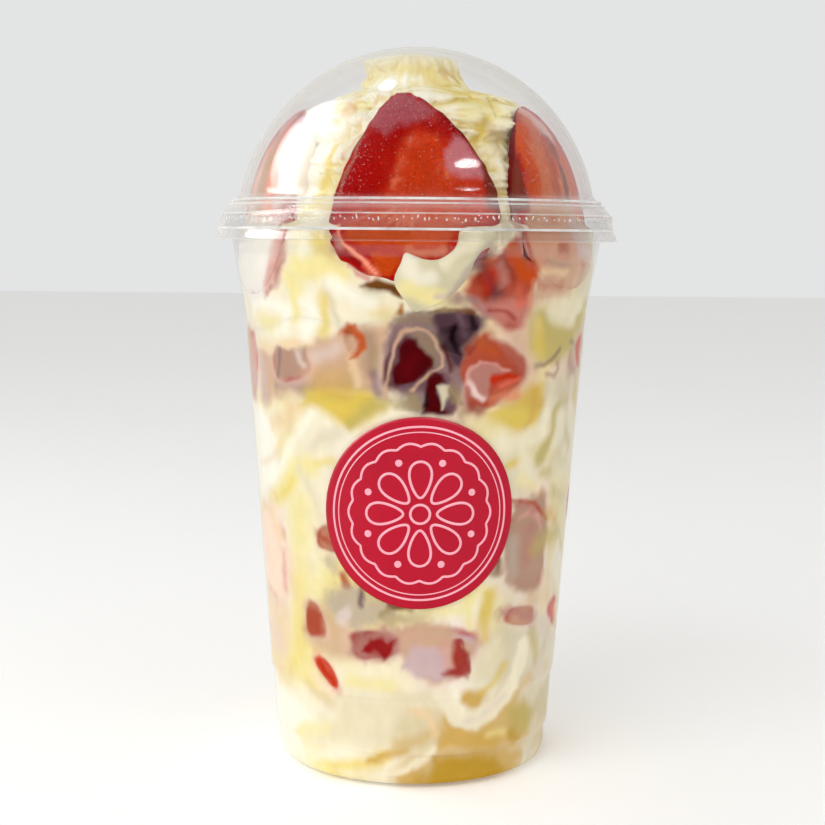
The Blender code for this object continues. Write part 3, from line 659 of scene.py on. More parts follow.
MILKY_SMEARS = (
    ("tan", 0.85, FILL, 2.6, (-64, 95), (-62, 106), (-52, 107.5), (-34, 110), (-30, 113), (-14, 114.5),
     (-6, 115), (-9, 104), (-14, 99), (-20, 102), (-34, 101), (-44, 101), (-54, 100), (-57, 95)),
    ("lilac", 0.6, 2.2, 3, (-62, 104), (-62, 96)),
    ("pearl", 0.6, 1.8, 2.4, (-32, 107), (-25, 110)),
    ("gold", 0.45, 2.4, 3, (-33, 102), (-22, 103)),
    ("drab", 0.6, 1.8, 2.6, (-14.5, 112), (-13.5, 104)),
    ("khaki", 0.6, 1, 1.8, (-12, 109), (-12, 104.5)),
    ("heather", 0.8, 1.4, 1.8, (-12.3, 102.5), (-11, 98.8)),
    ("sand", 0.6, 0.9, 1.2, (-20, 107), (-18.5, 103), (-18, 100.5)),
    ("olive", 0.9, FILL, 3, (36, 119), (40, 119.5), (60, 118), (62, 108), (56, 105), (42, 105.5),
     (37, 110)),
    ("cream", 0.7, 2.4, 2.4, (50, 117.5), (62, 116)),
    ("corn", 0.7, 1.8, 2.4, (42.5, 115), (43, 108.5)),
    ("tan", 0.8, FILL, 2.4, (29, 117), (36, 116), (38, 108), (42, 104), (36, 103), (31, 108)),
    ("gold", 0.7, 2.4, 2.8, (32, 98.5), (40, 98), (46, 96)),
    ("fog", 0.7, 2.4, 3, (50, 98), (62, 98)),
    ("drab", 0.85, 0.7, 1, (41.5, 105.3), (46, 105), (50.5, 106.6), (55, 108.3)),
    ("fawn", 0.8, 0.8, 1.2, (54, 105.3), (55, 103.3), (52, 101.6), (47.5, 102)),
)
# Lobes of whipped cream at the wall: the white strokes are painted highlights on the lobes, and the upright
# yellowish and fog strokes between the lobes and the sand lines along their lower edges are painted shade.
LOBE_SWIRLS_AND_SHADING = (
    ("cream", 0.95, FILL, 2, (-82, 109), (-60, 107.6), (-55, 107), (-50, 108.2), (-45, 107.8),
     (-40, 109.2), (-34, 109.6), (-33, 112), (-28, 112.6), (-25, 114), (-24, 117), (-20, 117), (-14, 115.4),
     (-7, 115.6), (-6, 124), (-30, 138), (-82, 138)),
    ("yellow", 0.8, 1.6, 3.4, (-36, 135), (-29, 133.2)),
    ("lemon", 0.8, 2.6, 3.4, (-37, 129), (-28, 127.6), (-22, 127.5)),
    ("gold", 0.6, 0.9, 2.2, (-28, 133.4), (-25.5, 130), (-24, 128)),
    ("yellow", 0.5, 1.2, 2.6, (-41, 125), (-40.5, 120), (-42, 116)),
    ("corn", 0.55, 1.2, 2.2, (-29, 122), (-29.5, 117), (-30, 113.8)),
    ("lemon", 0.7, 2.4, 3, (-60, 116), (-52, 113.5)),
    ("sand", 0.7, 1, 1.6, (-50, 108.8), (-43, 109.4)),
    ("fog", 0.7, 0.8, 1.6, (-28.5, 124), (-25.5, 119), (-24, 116)),
    ("corn", 0.5, 1.6, 2.4, (-12, 118.5), (-8, 117)),
    ("fog", 0.6, 1.6, 2.4, (-20, 122), (-12, 121)),
    ("sand", 0.7, 1.3, 2, (-62, 108.6), (-52, 107.6), (-44, 108.8), (-35, 110.4)),
    ("yellow", 0.55, 1.6, 2.4, (-30, 120.5), (-30.4, 113.5)),
    ("yellow", 0.85, 1.3, 2, (-36, 135.6), (-30, 134.6), (-25, 134.2)),
    ("lemon", 0.9, 2.4, 2.6, (-38, 130), (-33, 128.4), (-28, 129), (-24.6, 127)),
    ("corn", 0.6, 1, 1.8, (-30, 132), (-25.4, 130.4)),
    ("lemon", 0.9, 2.2, 2.6, (-41, 126.6), (-40, 121), (-41.6, 117.6)),
    ("white", 0.9, 2.2, 3, (-66, 119), (-55, 119.6), (-46, 117.4)),
    ("white", 0.9, 2, 2.6, (-36.6, 120), (-34.4, 116), (-37, 112)),
    ("white", 0.8, 1.6, 2.2, (-27, 124.4), (-18, 121.4), (-13, 120)),
    ("white", 0.8, 1.4, 2, (-51, 111.6), (-46, 113.4)),
    ("white", 0.7, 2, 2.6, (-36, 133), (-34, 139)),
)
SHOULDER_HAZE = (
    ("tan", 0.95, FILL, 3.4, (38, 139), (37, 128), (37, 120), (46, 120), (58, 121), (64, 126), (66, 139)),
    # The dull fog over the right side is painted shade, on the side away from the key light.
    ("fog", 0.8, FILL, 4, (58, 121), (64, 126), (66, 139), (86, 139), (86, 118)),
    ("salmon", 0.5, 1.6, 2.6, (42, 135), (40, 129)),
    ("rust", 0.55, 1.5, 2.2, (49.5, 135.5), (53, 132.8)),
    ("mauve", 0.4, 0.8, 1.6, (43, 130), (54, 128.8)),
    ("sand", 0.6, 0.8, 1.4, (42, 127.4), (54, 127.2)),
    ("brick", 0.4, 0.8, 1.4, (39, 124.5), (52, 124)),
    ("ivory", 0.8, 2, 2.6, (50, 119), (66, 119)),
)
# Marks that belong to the strawberries and the air pockets in front.
BERRY_MARKS = (
    # left half, behind the wall
    ("chalk", 1, FILL, 3, (-84, 140), (-47, 140), (-46, 130), (-55, 121), (-70, 120), (-84, 124)),
    ("rose", 0.75, FILL, 1.8, (-50, 137), (-45, 137.5), (-42.5, 133), (-43.5, 128), (-46, 125.5), (-50, 123),
     (-55, 121), (-56, 122.5), (-51, 127.5), (-49, 133)),
    ("dusk", 0.8, 0.6, 1.2, (-53.5, 121.8), (-49, 123.6), (-45.5, 126.8), (-44, 129.5)),
    ("dusk", 0.55, 0.9, 1.4, (-46, 136.5), (-44.8, 133), (-45, 130)),
    # cream over pieces that lie at the cup's outline; the dull fog on the right is painted shade
    ("tan", 0.85, FILL, 3, (-94, 95), (-94, 113), (-73, 113), (-72, 95)),
    ("fog", 0.9, FILL, 3, (74, 95), (73, 113), (94, 113), (94, 95)),
    ("ivory", 0.9, FILL, 3, (71, 35), (71, 53), (94, 53), (94, 35)),
    # air pockets: their dark paint is painted shade in the gaps; the umber, bronze and rust are shade over
    # the juice's orange-brown, the heather, plum, black and maroon are the shade of the hollow, and the mauve
    # above it is a painted shadow
    ("umber", 1, FILL, 0.8, (-17.2, 124.1), (-12, 125.3), (-7, 125.1), (-4.3, 123.8), (-3.8, 121.5),
     (-5, 122), (-8, 122.9), (-14, 123.2)),
    ("bronze", 0.95, FILL, 0.8, (-4.6, 120), (-3.4, 120), (-2.4, 117.4), (-3.6, 116.6), (-5.4, 117.2)),
    ("rust", 0.95, FILL, 0.9, (-24.3, 113.3), (-21.5, 115.6), (-18, 115), (-15.8, 112), (-15.8, 109.3),
     (-18, 107.4), (-20.5, 106.8), (-18.9, 109), (-18.3, 111), (-20, 112.6), (-22, 113)),
    ("heather", 0.85, FILL, 2, (-8.5, 101), (-8.5, 110), (-7, 115), (-2, 117), (6, 118.5), (15, 118.6),
     (24, 117.4), (23, 114), (16, 104), (14, 95), (0, 94), (-4, 97)),
    ("drab", 0.8, 1, 1.6, (-5, 115.8), (0, 116.8), (5, 116.5)),
    ("khaki", 0.7, 1.3, 1.8, (-6, 96.5), (-2, 97.5), (0, 96)),
    ("plum", 0.95, FILL, 1.2, (5.5, 117.6), (10, 118.3), (15, 118), (20, 117), (21.5, 114.8), (19, 112),
     (16, 109.5), (14, 105.5), (11, 105.5), (9, 108.5), (8, 112), (5.8, 115)),
    ("heather", 0.75, 0.9, 1.4, (12.5, 117), (14.3, 114.5), (16.5, 112.5)),
    ("black", 1, 0.9, 0.8, (10.8, 114), (11.6, 111.5), (13, 109.3)),
    ("black", 0.9, 0.8, 0.8, (17.4, 116.2), (19, 114)),
    ("maroon", 0.9, 0.5, 0.7, (8.8, 110), (9.3, 107), (11, 104.5)),
    ("umber", 0.9, 0.35, 0.7, (5, 117.8), (8.5, 118.8), (14, 118.4), (18, 117.4)),
    ("shade", 0.8, 1.2, 1.6, (6, 120.4), (12, 120.6)),
    ("mauve", 0.8, 1.3, 2, (12, 121), (18, 120.4), (24, 118.4)),
    # the window and the dark chunk below it
    ("drab", 0.8, FILL, 1.4, (-2, 113.6), (2, 113.9), (5, 112.6), (7, 109), (6.6, 106), (3.6, 105),
     (1.8, 109.6)),
    ("maroon", 1, FILL, 0.9, (-7, 101.5), (-6.4, 104), (-4.6, 107.5), (-4.6, 110), (-3, 112), (0.4, 112.4),
     (1.4, 110.6), (3.2, 109.4), (5, 107.4), (4.6, 105), (2.2, 103), (0, 101.5), (-3, 101), (-6, 100)),
    ("wine", 0.4, 1.2, 2, (0, 107.6), (-2.5, 103.4)),
    ("maroon", 1, FILL, 0.9, (2, 94), (2.8, 98), (3, 101), (4, 103), (6, 104.5), (8.6, 104), (10.4, 101.4),
     (8, 101), (7, 99), (8.5, 96.5), (10.6, 94)),
    ("black", 0.8, 0.5, 0.8, (3.2, 98.5), (2.9, 96)),
    ("fog", 1, FILL, 0.8, (7.2, 100.4), (9, 101.3), (11.2, 101), (11, 98.4), (10, 97), (9, 95), (8, 98)),
    ("khaki", 0.8, 1.4, 1.6, (12.2, 100), (14.4, 97.4)),
    ("mauve", 0.5, 1.6, 2.2, (12, 103.4), (13.4, 101)),
    ("wine", 0.55, 1.6, 2.4, (17, 95), (22, 96)),
    ("tan", 0.95, 0.32, 0.5, (-10.4, 97), (-8.8, 99.6), (-7.3, 104), (-6.3, 109), (-4.8, 112), (-2.2, 114),
     (1, 114.6), (4, 113.6), (6.5, 111.5), (7.6, 108.5), (7.8, 105.8)),
    ("tan", 0.9, 0.32, 0.5, (7.8, 105.8), (5, 104.4), (2.4, 102.6), (0.2, 100.8), (-1.6, 99.4)),
    # bubble chunk: the dusk lens, its rose rim and the blush crescent are a painted highlight of a bubble on
    # it
    ("brick", 0.95, FILL, 1.2, (14.3, 106), (17, 109), (20, 112), (23, 113.6), (26, 112.6), (30, 109),
     (33, 106), (35, 103.6), (34, 100.4), (30, 98.4), (27, 97), (22, 97.2), (17, 99.6), (15, 102.6)),
    ("rust", 0.7, 1.4, 2.2, (22, 111), (26, 109)),
    ("dusk", 0.9, FILL, 1, (16.4, 101.2), (18, 104.6), (22, 106.4), (27.5, 106), (31.5, 104.4),
     (26, 103.4), (25, 101.4), (25, 99), (22, 98), (18.4, 99)),
    ("rose", 0.8, 0.35, 0.6, (16.6, 101), (17.8, 104.2), (22, 106.4), (27, 106), (31, 104.6)),
    ("flame", 0.95, 0.8, 0.9, (26.5, 103), (30.5, 103.4), (33.4, 102.6)),
    ("coral", 0.8, 0.7, 1, (29, 101.4), (35, 102)),
    ("blush", 0.95, 0.6, 0.9, (18, 101.2), (20.6, 99.6), (23, 98.8)),
    ("salmon", 0.7, 1.2, 1.8, (27, 98.4), (34, 98.6)),
    # shoulder chunk and the foot of the right half
    ("brick", 0.95, FILL, 1.4, (14.5, 122.4), (17, 124), (19, 127.5), (18.6, 130), (20, 131.6), (26, 131.4),
     (28, 133.6), (31, 136), (36, 138), (38.5, 130), (38, 126), (36, 122.6), (36.6, 119), (33, 116.8),
     (24, 118.6), (19, 121)),
    ("wine", 0.7, 1.5, 2.4, (18.6, 129), (19.6, 125.8), (23.6, 121.8)),
    ("wine", 0.5, 1.2, 2, (26, 130), (28.6, 126.4)),
    ("flame", 0.95, 1.2, 1.8, (21.6, 126.8), (21.8, 124)),
    ("rose", 0.5, FILL, 3, (20, 119.6), (26, 117), (34, 115.6), (39, 118), (37, 121), (28, 121.6)),
    ("plum", 0.55, 0.9, 1.6, (16.6, 130), (20, 128), (22.6, 124.4), (27, 121.6)),
    ("dusk", 0.7, 1, 1.6, (25, 128.6), (26.4, 125)),
    ("mauve", 0.7, 1.2, 1.8, (19, 131.4), (17, 128.4)),
    ("orange", 0.95, 2, 2.2, (31, 129.6), (33.6, 127), (36, 127.6)),
    ("rust", 0.8, 1.2, 1.8, (28.4, 133.4), (31, 131.4)),
    ("rose", 0.9, 0.9, 1.2, (35, 134.8), (34.2, 132.4)),
    ("coral", 0.6, 1, 1.6, (32, 124), (34, 120.6)),
    ("crimson", 0.7, 0.5, 0.9, (24, 118.6), (30, 117.8), (33, 117.2)),
    ("salmon", 0.7, 0.5, 0.9, (36.4, 126), (36.6, 122), (38, 119)),
    # block and the left of the milky layer
    ("fawn", 0.95, FILL, 1, (-53.6, 106), (-52, 108), (-41, 108), (-36.4, 109), (-35.4, 106), (-40, 103.4),
     (-42, 101.5), (-51, 101)),
    ("mauve", 0.95, 0.5, 0.7, (-50.6, 107.4), (-50.4, 104), (-50.8, 101.6)),
    ("pearl", 0.7, 1.1, 1.4, (-40, 107), (-37.6, 105)),
    # beside and under the sticker
    ("brick", 0.8, 1, 1.4, (-36, 64), (-32.6, 62.8), (-29, 61.8)),
    ("grey", 0.6, 1.4, 1.8, (-32, 57.4), (-29.6, 55)),
    ("brick", 0.9, 0.9, 1.1, (-26.4, 54.2), (-25, 51.6)),
    ("brick", 0.8, FILL, 2, (-44.6, 38.4), (-41, 45.6), (-38, 44.6), (-35.4, 40.6), (-35, 37.6),
     (-40, 36.8)),
    ("grey", 0.8, FILL, 3, (-35, 46), (-31, 50), (-22, 52), (-14, 48.6), (-6, 46.8), (-3, 44), (-10, 42),
     (-20, 41), (-28, 42)),
    ("pearl", 0.9, 1.4, 1.4, (-27.4, 42.4), (-24.6, 45.4)),
    ("heather", 0.95, 0.8, 0.9, (-19.2, 50.4), (-19.8, 47.4)),
    ("khaki", 0.8, 0.6, 1, (-12.6, 43.8), (-8, 46), (-3, 46.6)),
    ("khaki", 0.5, 2, 2.6, (-9, 42.6), (3, 43.2)),
    ("wine", 0.7, 0.7, 1, (-9, 46.8), (0, 46.2)),
    # low chunk, streak and the pale slice
    ("dusk", 0.7, FILL, 2, (-24, 35), (-23, 39.6), (-10, 41.4), (-5, 40.6), (-5, 36), (-9, 33),
     (-18, 32.8)),
    ("crimson", 0.95, FILL, 0.9, (-18.6, 37), (-16, 39), (-12.4, 38.4), (-9, 38), (-6.4, 38.4), (-8, 35.4),
     (-11, 33.4), (-14, 35.6), (-17, 34.8), (-19.4, 35.4)),
    ("coral", 0.7, 1.3, 2.6, (-38.6, 31.4), (-30, 25.6)),
    ("flame", 0.9, 1, 1.2, (-37.8, 30.8), (-34, 28.6), (-30.6, 26.6)),
    ("peach", 0.6, 1, 1.8, (-40, 27), (-34, 23.6)),
    ("tan", 0.9, FILL, 1.8, (-5, 36), (-5, 40.6), (2, 42.4), (10, 42.6), (16, 40), (15, 36.4), (4, 36.4)),
    ("lilac", 0.95, FILL, 1.4, (-4, 31.4), (-2, 34.8), (4, 35.8), (13, 36.2), (14, 31), (10, 29.2),
     (2, 29.6)),
    ("rose", 0.6, 1, 1.6, (12, 36.6), (13.4, 32)),
    ("skin", 0.9, FILL, 1, (15, 38), (17.4, 38.4), (19.6, 34.4), (20.2, 31), (19.4, 29.4), (15, 29.6),
     (11.4, 30.2), (14.6, 32)),
    ("crimson", 0.8, 0.4, 0.7, (17.6, 38), (19.4, 34.4), (20, 30.6)),
    # slice, bit and spots on the right
    ("fawn", 0.85, FILL, 2.2, (34.6, 64), (34, 52), (40, 48.6), (47, 50), (50, 56), (51, 64), (46, 69),
     (39, 71)),
    ("grey", 0.75, 1.8, 2.4, (36.6, 61), (37, 54)),
    ("dusk", 0.7, 2, 2.6, (45, 64), (44.6, 57)),
    ("rose", 0.8, 0.6, 0.9, (40, 67.6), (44, 68.6), (48, 66.8), (50.4, 63)),
    ("dusk", 0.8, 0.9, 1.2, (37, 71.6), (42, 70.6), (46, 68.4)),
    ("brick", 0.9, 0.55, 0.8, (35, 73.2), (41, 72), (46, 69.6), (50, 67.6), (53.4, 65.4)),
    ("gold", 0.6, 1.6, 2.4, (54, 66.6), (62, 66)),
    ("olive", 0.7, 2.6, 3.4, (50, 60), (62, 61)),
    ("umber", 0.85, 0.9, 1.2, (27.6, 56), (30.6, 57), (30.6, 54.6)),
    ("dusk", 0.75, 1.4, 2, (34, 43.4), (42, 43), (52, 40.6)),
    # left slice
    ("peach", 0.9, FILL, 3, (-82, 46), (-82, 62), (-74, 66), (-66, 66), (-58, 63), (-54, 58), (-53, 50),
     (-56, 45)),
    ("sand", 0.8, 1.2, 2.2, (-78, 65), (-68, 67.4), (-60, 65), (-55, 61)),
    ("rose", 0.6, 1, 1.6, (-55.4, 57), (-54.6, 51), (-55.4, 46.6)),
)
# Marks on the halves where they stand in the dome, and round their feet.
DOME_MARKS = (
    # the front half: deep red on the left, orange in its middle, a painted reflection as a sheen on its tip,
    # a painted halo of light round the glint
    ("cherry", 0.95, FILL, 3, (-27, 143), (-23, 153), (-18.5, 161), (-14, 166), (-6, 168.5), (4, 166),
     (11, 161.4), (14, 158.5), (10, 155), (4, 159.5), (-2, 160), (-6.5, 155), (-8, 149), (-9, 143)),
    ("flame", 0.85, FILL, 7, (-5, 155), (0, 161.5), (7, 159.4), (11, 154.6), (8, 149.4), (12, 148.4),
     (20, 148.8), (24, 146.8), (24.5, 143), (-9, 143), (-7.5, 150)),
    ("ember", 0.85, FILL, 5, (-4, 154), (3, 157), (7, 151), (13, 147.6), (20, 147), (22, 144), (-5, 144)),
    ("coral", 0.2, FILL, 3, (-6, 138), (-5, 146), (3, 147.4), (9, 146), (16, 144.6), (24, 144),
     (25, 138)),
    ("crimson", 0.85, 1, 1.8, (8, 163.4), (14.4, 159.4), (19, 155), (22.6, 150.6), (25, 146),
     (26.4, 142)),
    ("maroon", 0.7, 0.4, 0.7, (2, 167.6), (6.4, 166.4), (11.4, 163.4), (15.6, 160), (20, 155.4),
     (23.6, 150.6), (26, 145.6)),
    ("drab", 0.5, 0.4, 0.8, (-25.4, 143), (-23.6, 149), (-20.8, 156.5), (-17.8, 162.5), (-15.8, 166)),
    ("frost", 0.85, FILL, 2.6, (-17.4, 162), (-15.6, 166.4), (-10, 169.4), (-2, 168.6), (4, 166.8),
     (6, 165.2), (0, 163.4), (-5, 161.8), (-11, 160.8)),
    ("halo", 0.85, FILL, 2.4, (8, 151.5), (9, 155), (12, 158.8), (15, 158.4), (19, 154.8), (22.6, 150.5),
     (21, 148.6), (15, 148.6), (10, 149.6)),
    # its foot under the band; the crimson stroke under the pale shell line at its lower left is a painted
    # shadow
    ("orange", 0.9, FILL, 1.6, (-22.6, 137.6), (-20.6, 133.5), (-12, 133.1), (0, 133.4), (10.6, 133.5),
     (12.6, 137.6)),
    ("coral", 0.2, FILL, 2, (-1, 133.6), (-1, 137.6), (12, 137.6), (10.4, 133.6)),
    ("clay", 0.9, 1, 1.4, (-2, 132), (8.6, 132.2)),
    ("orange", 0.85, FILL, 1.4, (-13.4, 131.2), (-4.4, 131.4), (-5.6, 128.6), (-8, 126.4), (-11.6, 126.4)),
    ("coral", 0.9, 1.2, 1.5, (-15, 128.8), (-12, 127)),
    ("shell", 0.95, 0.5, 0.8, (-24, 136.8), (-22.6, 133.6), (-19.4, 131.5), (-16.4, 130.2), (-13.8, 128.4),
     (-11.4, 126.6)),
    ("crimson", 0.95, 0.8, 1, (-22.2, 131), (-19.4, 129.8), (-16.4, 128.2)),
    ("rose", 0.9, 0.5, 0.9, (-20.8, 128.2), (-18, 126.4), (-14, 125.6)),
    ("dusk", 0.85, 0.9, 1.2, (-24.4, 134.6), (-22.6, 132.2)),
    # the right half: a dark jagged left edge, an orange stripe, then salmon and a dull right edge
    ("clay", 0.8, FILL, 3, (42, 142), (43.6, 150), (45, 160), (50, 166.6), (58, 166), (55, 156),
     (54, 142)),
    ("sienna", 0.95, FILL, 1.4, (22, 141), (22, 158), (32, 162), (38, 157), (37.6, 151), (38.4, 142)),
    ("orange", 0.85, 1.7, 2.4, (40.4, 143), (41, 150), (42.6, 156)),
    ("sienna", 0.9, FILL, 1.6, (32, 158), (34, 162), (39, 165.4), (44, 166), (41, 160.6), (38.4, 156.6)),
    ("orange", 0.95, 1.8, 2.4, (41.4, 156.4), (43.6, 160), (46.6, 161.4)),
    ("orange", 0.8, 1.2, 2.2, (44, 144), (44.6, 152), (47, 158)),
    ("clay", 0.7, 1.2, 2, (47, 158), (48, 150), (48, 143)),
    ("brick", 0.75, 1.6, 2.8, (55, 159), (55, 150), (54.6, 143)),
    ("garnet", 0.9, 1.5, 2.2, (60, 161), (60.8, 151), (60, 144)),
    ("blush", 0.6, 2, 3, (56, 167), (62, 161)),
    # its foot, paler behind the neck of the cup
    ("camel", 0.8, FILL, 2, (38, 143.4), (37, 139.6), (62, 139.6), (63, 143.4)),
    ("biscuit", 0.95, FILL, 2, (37.4, 131), (37, 139.8), (59, 139.8), (61, 131)),
    ("brick", 0.7, 1.3, 2, (50.6, 134.5), (53.6, 133.6)),
    ("dusk", 0.8, 1.5, 1.8, (32.6, 140), (34.4, 135)),
    ("lilac", 0.7, 2.6, 3.4, (61, 138), (64, 133)),
    # the thin strand between the two halves
    ("fog", 0.95, FILL, 0.9, (25.4, 132.6), (26, 136), (27, 139.5), (29.6, 141.5), (30.4, 138), (29.4, 135),
     (27.6, 132.6)),
    # the left half: a band along the dome with a painted reflection as a sheen along its top, white painted
    # glare of the light to the left over its right, then pale behind the wall
    ("camel", 0.8, FILL, 3, (-70, 142), (-69, 154), (-63, 160), (-60, 154), (-59, 142)),
    ("shell", 0.75, FILL, 3, (-61, 142), (-62, 154), (-57, 158), (-52, 157), (-54, 150), (-52, 142)),
    ("coral", 0.75, 2.4, 3.2, (-59.5, 161), (-56.5, 157)),
    ("frost", 0.9, 2, 2.6, (-58, 164.4), (-50, 166), (-43, 166.4)),
    ("blush", 0.8, 2, 3, (-50.4, 148.6), (-49, 144)),
    ("white", 1, FILL, 2.2, (-52.5, 148.4), (-53, 153), (-50, 160), (-42, 165.6), (-31, 168), (-31, 146),
     (-46, 146)),
)
# Layers of noise: amount, cells in a turn, a cell's height and seed.
WOBBLES = ((0.9, 30, 9.0, 18), (0.55, 64, 4.4, 14), (0.3, 150, 2.0, 15))
TEARS = ((1.0, 200, 1.4, 71), (0.7, 90, 3.2, 72))
BEND_SIDEWAYS = ((13, 7, 30, 1), (6, 17, 13, 2))
BEND_UP = ((11, 6, 24, 3), (4, 15, 11, 4))
LOW_EDGE = ((2.5, 40, 7, 11),)
HIGH_EDGE = ((1.5, 60, 5, 12),)
FACE_EDGE = ((0.06, 120, 2.6, 21), (0.05, 50, 6, 22))
DENT_EDGE = ((0.05, 120, 2.6, 21), (0.04, 50, 6, 22))
GRAIN = ((0.5, 240, 1.6, 16), (1.0, 110, 3.4, 17))
# Radius that turns a wobble in millimetres into degrees, and how far apart its two seeds are.
WOBBLE_R = 42.0
WOBBLE_SEEDS = 30
SHORTEST_RUN = 1e-6
CREAM_SOFTEN = 1.5
MARK_SOFTEN = 1.6
MARKS_TORN = 0.16
DOME_MARKS_TORN = 1.4 * MARKS_TORN
MOUND_TORN = 0.3
HALO_PAINTS = (("blush", 0.35, 1.7, 0.9), ("rose", 0.3, 1.28, 0.5))
# Where the front's swirls come again round the cup: turned by an angle, mirrored, and moved up.
REPEATS = ((118.0, True, 1.5), (-136.0, True, -1.0), (180.0, False, 0.6))


def turned(entries, by, mirror, rise):
    """The same entries with their points turned round the cup, mirrored if asked, and moved up."""
    way = -1.0 if mirror else 1.0
    return tuple((*entry[:4], *((by + way * angle, height + rise) for angle, height in entry[4:]))
                 for entry in entries)


def cover_of(x, y, half_width, soft, path, ragged):
    """Cover of one entry at places in millimetres, by their distance to its straight runs or its edge.

    A place is inside an area when a line from it to the right crosses the edge an odd number of times.
    """
    runs = zip(path, np.roll(path, -1, 0)) if half_width == FILL else zip(path[:-1], path[1:])
    best = np.full(x.shape, np.inf)
    inside = np.zeros(x.shape, bool)
    for (x0, y0), (x1, y1) in runs:
        run_x, run_y = x1 - x0, y1 - y0
        length_squared = max(run_x ** 2 + run_y ** 2, SHORTEST_RUN)
        t = np.clip(((x - x0) * run_x + (y - y0) * run_y) / length_squared, 0.0, 1.0)
        best = np.minimum(best, np.hypot(x - x0 - t * run_x, y - y0 - t * run_y))
        if half_width == FILL and y0 != y1:
            inside ^= ((y0 > y) != (y1 > y)) & (x < x0 + (y - y0) * run_x / run_y)
    depth = np.where(inside, best, -best) if half_width == FILL else half_width - best
    return step(depth / soft + 0.5 + ragged)


def lay(colours, name, cover):
    """Colours with a paint laid over them, by a cover from 0 to 1."""
    return colours + (PAINTS[name] - colours) * np.asarray(cover)[..., None]


def lay_entries(colours, angle, height, entries, soften=1.0, torn=0.0):
    """Lays entries in order over colours; each works only on the points near it, in millimetres."""
    ragged = torn * added_noise(0.0, angle, height, TEARS)
    for name, strength, half_width, soft, *points in entries:
        soft = soft * soften
        path = np.array(points, float)
        middle = path.mean(0)
        radius = float(contents_reach(middle[1]))
        margin = half_width + soft
        reach = np.abs(path - middle).max(0) + np.array((math.degrees(margin / radius), margin))
        away = (angle - middle[0] + 180.0) % 360.0 - 180.0
        near = np.nonzero((np.abs(away) < reach[0]) & (np.abs(height - middle[1]) < reach[1]))[0]
        if len(near):
            scale = np.array((math.radians(1.0) * radius, 1.0))
            cover = cover_of(away[near] * scale[0], height[near] - middle[1], half_width, soft,
                             (path - middle) * scale, ragged[near])
            colours[near] = lay(colours[near], name, strength * cover)
    return colours


def wobbled(angle, height):
    """Angles and heights moved a little by noise, so that painted edges are uneven."""
    near, level = angle, height
    for amount, cells, pitch, seed in WOBBLES:
        near = near + math.degrees(amount / WOBBLE_R) * wall_noise(angle, height, cells, pitch, seed)
        level = level + amount * wall_noise(angle, height, cells, pitch, seed + WOBBLE_SEEDS)
    return near, level


def marbling(angle, height):
    """Cream marbled all round: noise bent by broader noise gives folds of white, yellow and gold."""
    bent_angle = added_noise(angle, angle, height, BEND_SIDEWAYS)
    bent_height = added_noise(height, angle, height, BEND_UP)
    fold = wall_noise(bent_angle + 0.5 * bent_height, bent_height, 18, 22, 5)
    fine = wall_noise(bent_angle, bent_height, 50, 9, 6)
    colours = np.broadcast_to(PAINTS["cream"], np.shape(angle) + (3,)).copy()
    colours = lay(colours, "white", 0.6 * step(fold * 1.4 + 0.1))
    colours = lay(colours, "lemon", 0.6 * step(-fold * 1.6 - 0.1 + 0.3 * fine))
    colours = lay(colours, "yellow", 0.5 * step(-fold * 2.2 - 0.9 + 0.3 * fine))
    return lay(colours, "shade", 0.25 * step(fine * 1.2))


# A piece's own colours: flesh, core, and a film of cream over it with its strength.
BERRY_LOOKS = {
    "half_front": ("orange", "salmon", "cream", 0.0),
    "half_right": ("orange", "salmon", "tan", 0.1),
    "half_left": ("salmon", "peach", "pearl", 0.35),
    "chunk_shoulder": ("brick", "rust", "rose", 0.35),
    "chunk_window": ("maroon", "wine", "umber", 0.1),
    "chunk_dark": ("maroon", "maroon", "umber", 0.1),
    "chunk_bubble": ("brick", "rust", "dusk", 0.3),
    "chunk_block": ("dusk", "rose", "tan", 0.6),
    "slice_left_high": ("rose", "blush", "lilac", 0.85),
    "slice_left": ("peach", "peach", "peach", 0.9),
    "bit_upper": ("brick", "rust", "tan", 0.5),
    "bit_left": ("brick", "rust", "tan", 0.6),
    "chunk_low": ("crimson", "brick", "dusk", 0.4),
    "bit_streak": ("flame", "brick", "coral", 0.3),
    "slice_pale": ("lilac", "lilac", "tan", 0.9),
    "slice_right": ("fawn", "tan", "fawn", 0.9),
    "bit_right": ("brick", "dusk", "tan", 0.7),
}
HALF_LOOK = ("flame", "coral", "rose", 0.2)
# The far pieces take these looks in turn, in steps through the list.
FAR_LOOK_STEP = 3
FAR_LOOKS = (("flame", "coral", "rose", 0.3), ("brick", "rust", "dusk", 0.6), ("salmon", "peach", "tan", 0.6),
             ("crimson", "brick", "dusk", 0.4), ("salmon", "rose", "dusk", 0.4))
# Paint over the back of a piece, with its strength: white on the left half is painted glare of the light to
# the left, and the right half's back is darker.
BACK_PAINT_AND_GLARE = {"half_left": ("white", 0.9), "half_right": ("maroon", 0.7)}


# A cut face: its border in millimetres and how much wider it is at the tip, how far below its middle its
# fibres meet as a share of its half-length, and its flesh and core as shares of its smaller half-size.
BORDER = 4.2
BORDER_TO_TIP = 2.4
FIBRE_MEET = 0.25
FLESH_SOFT = 0.45
CORE_FROM = 0.52
CORE_SOFT = 0.35
RIM_WIDTH = 0.7
# Fibres: amount, how many in a radian, where the count starts, and how many in a millimetre outwards.
FIBRES = ((0.6, 9.0, 40, 0.16), (0.4, 21.0, 80, 0.3))


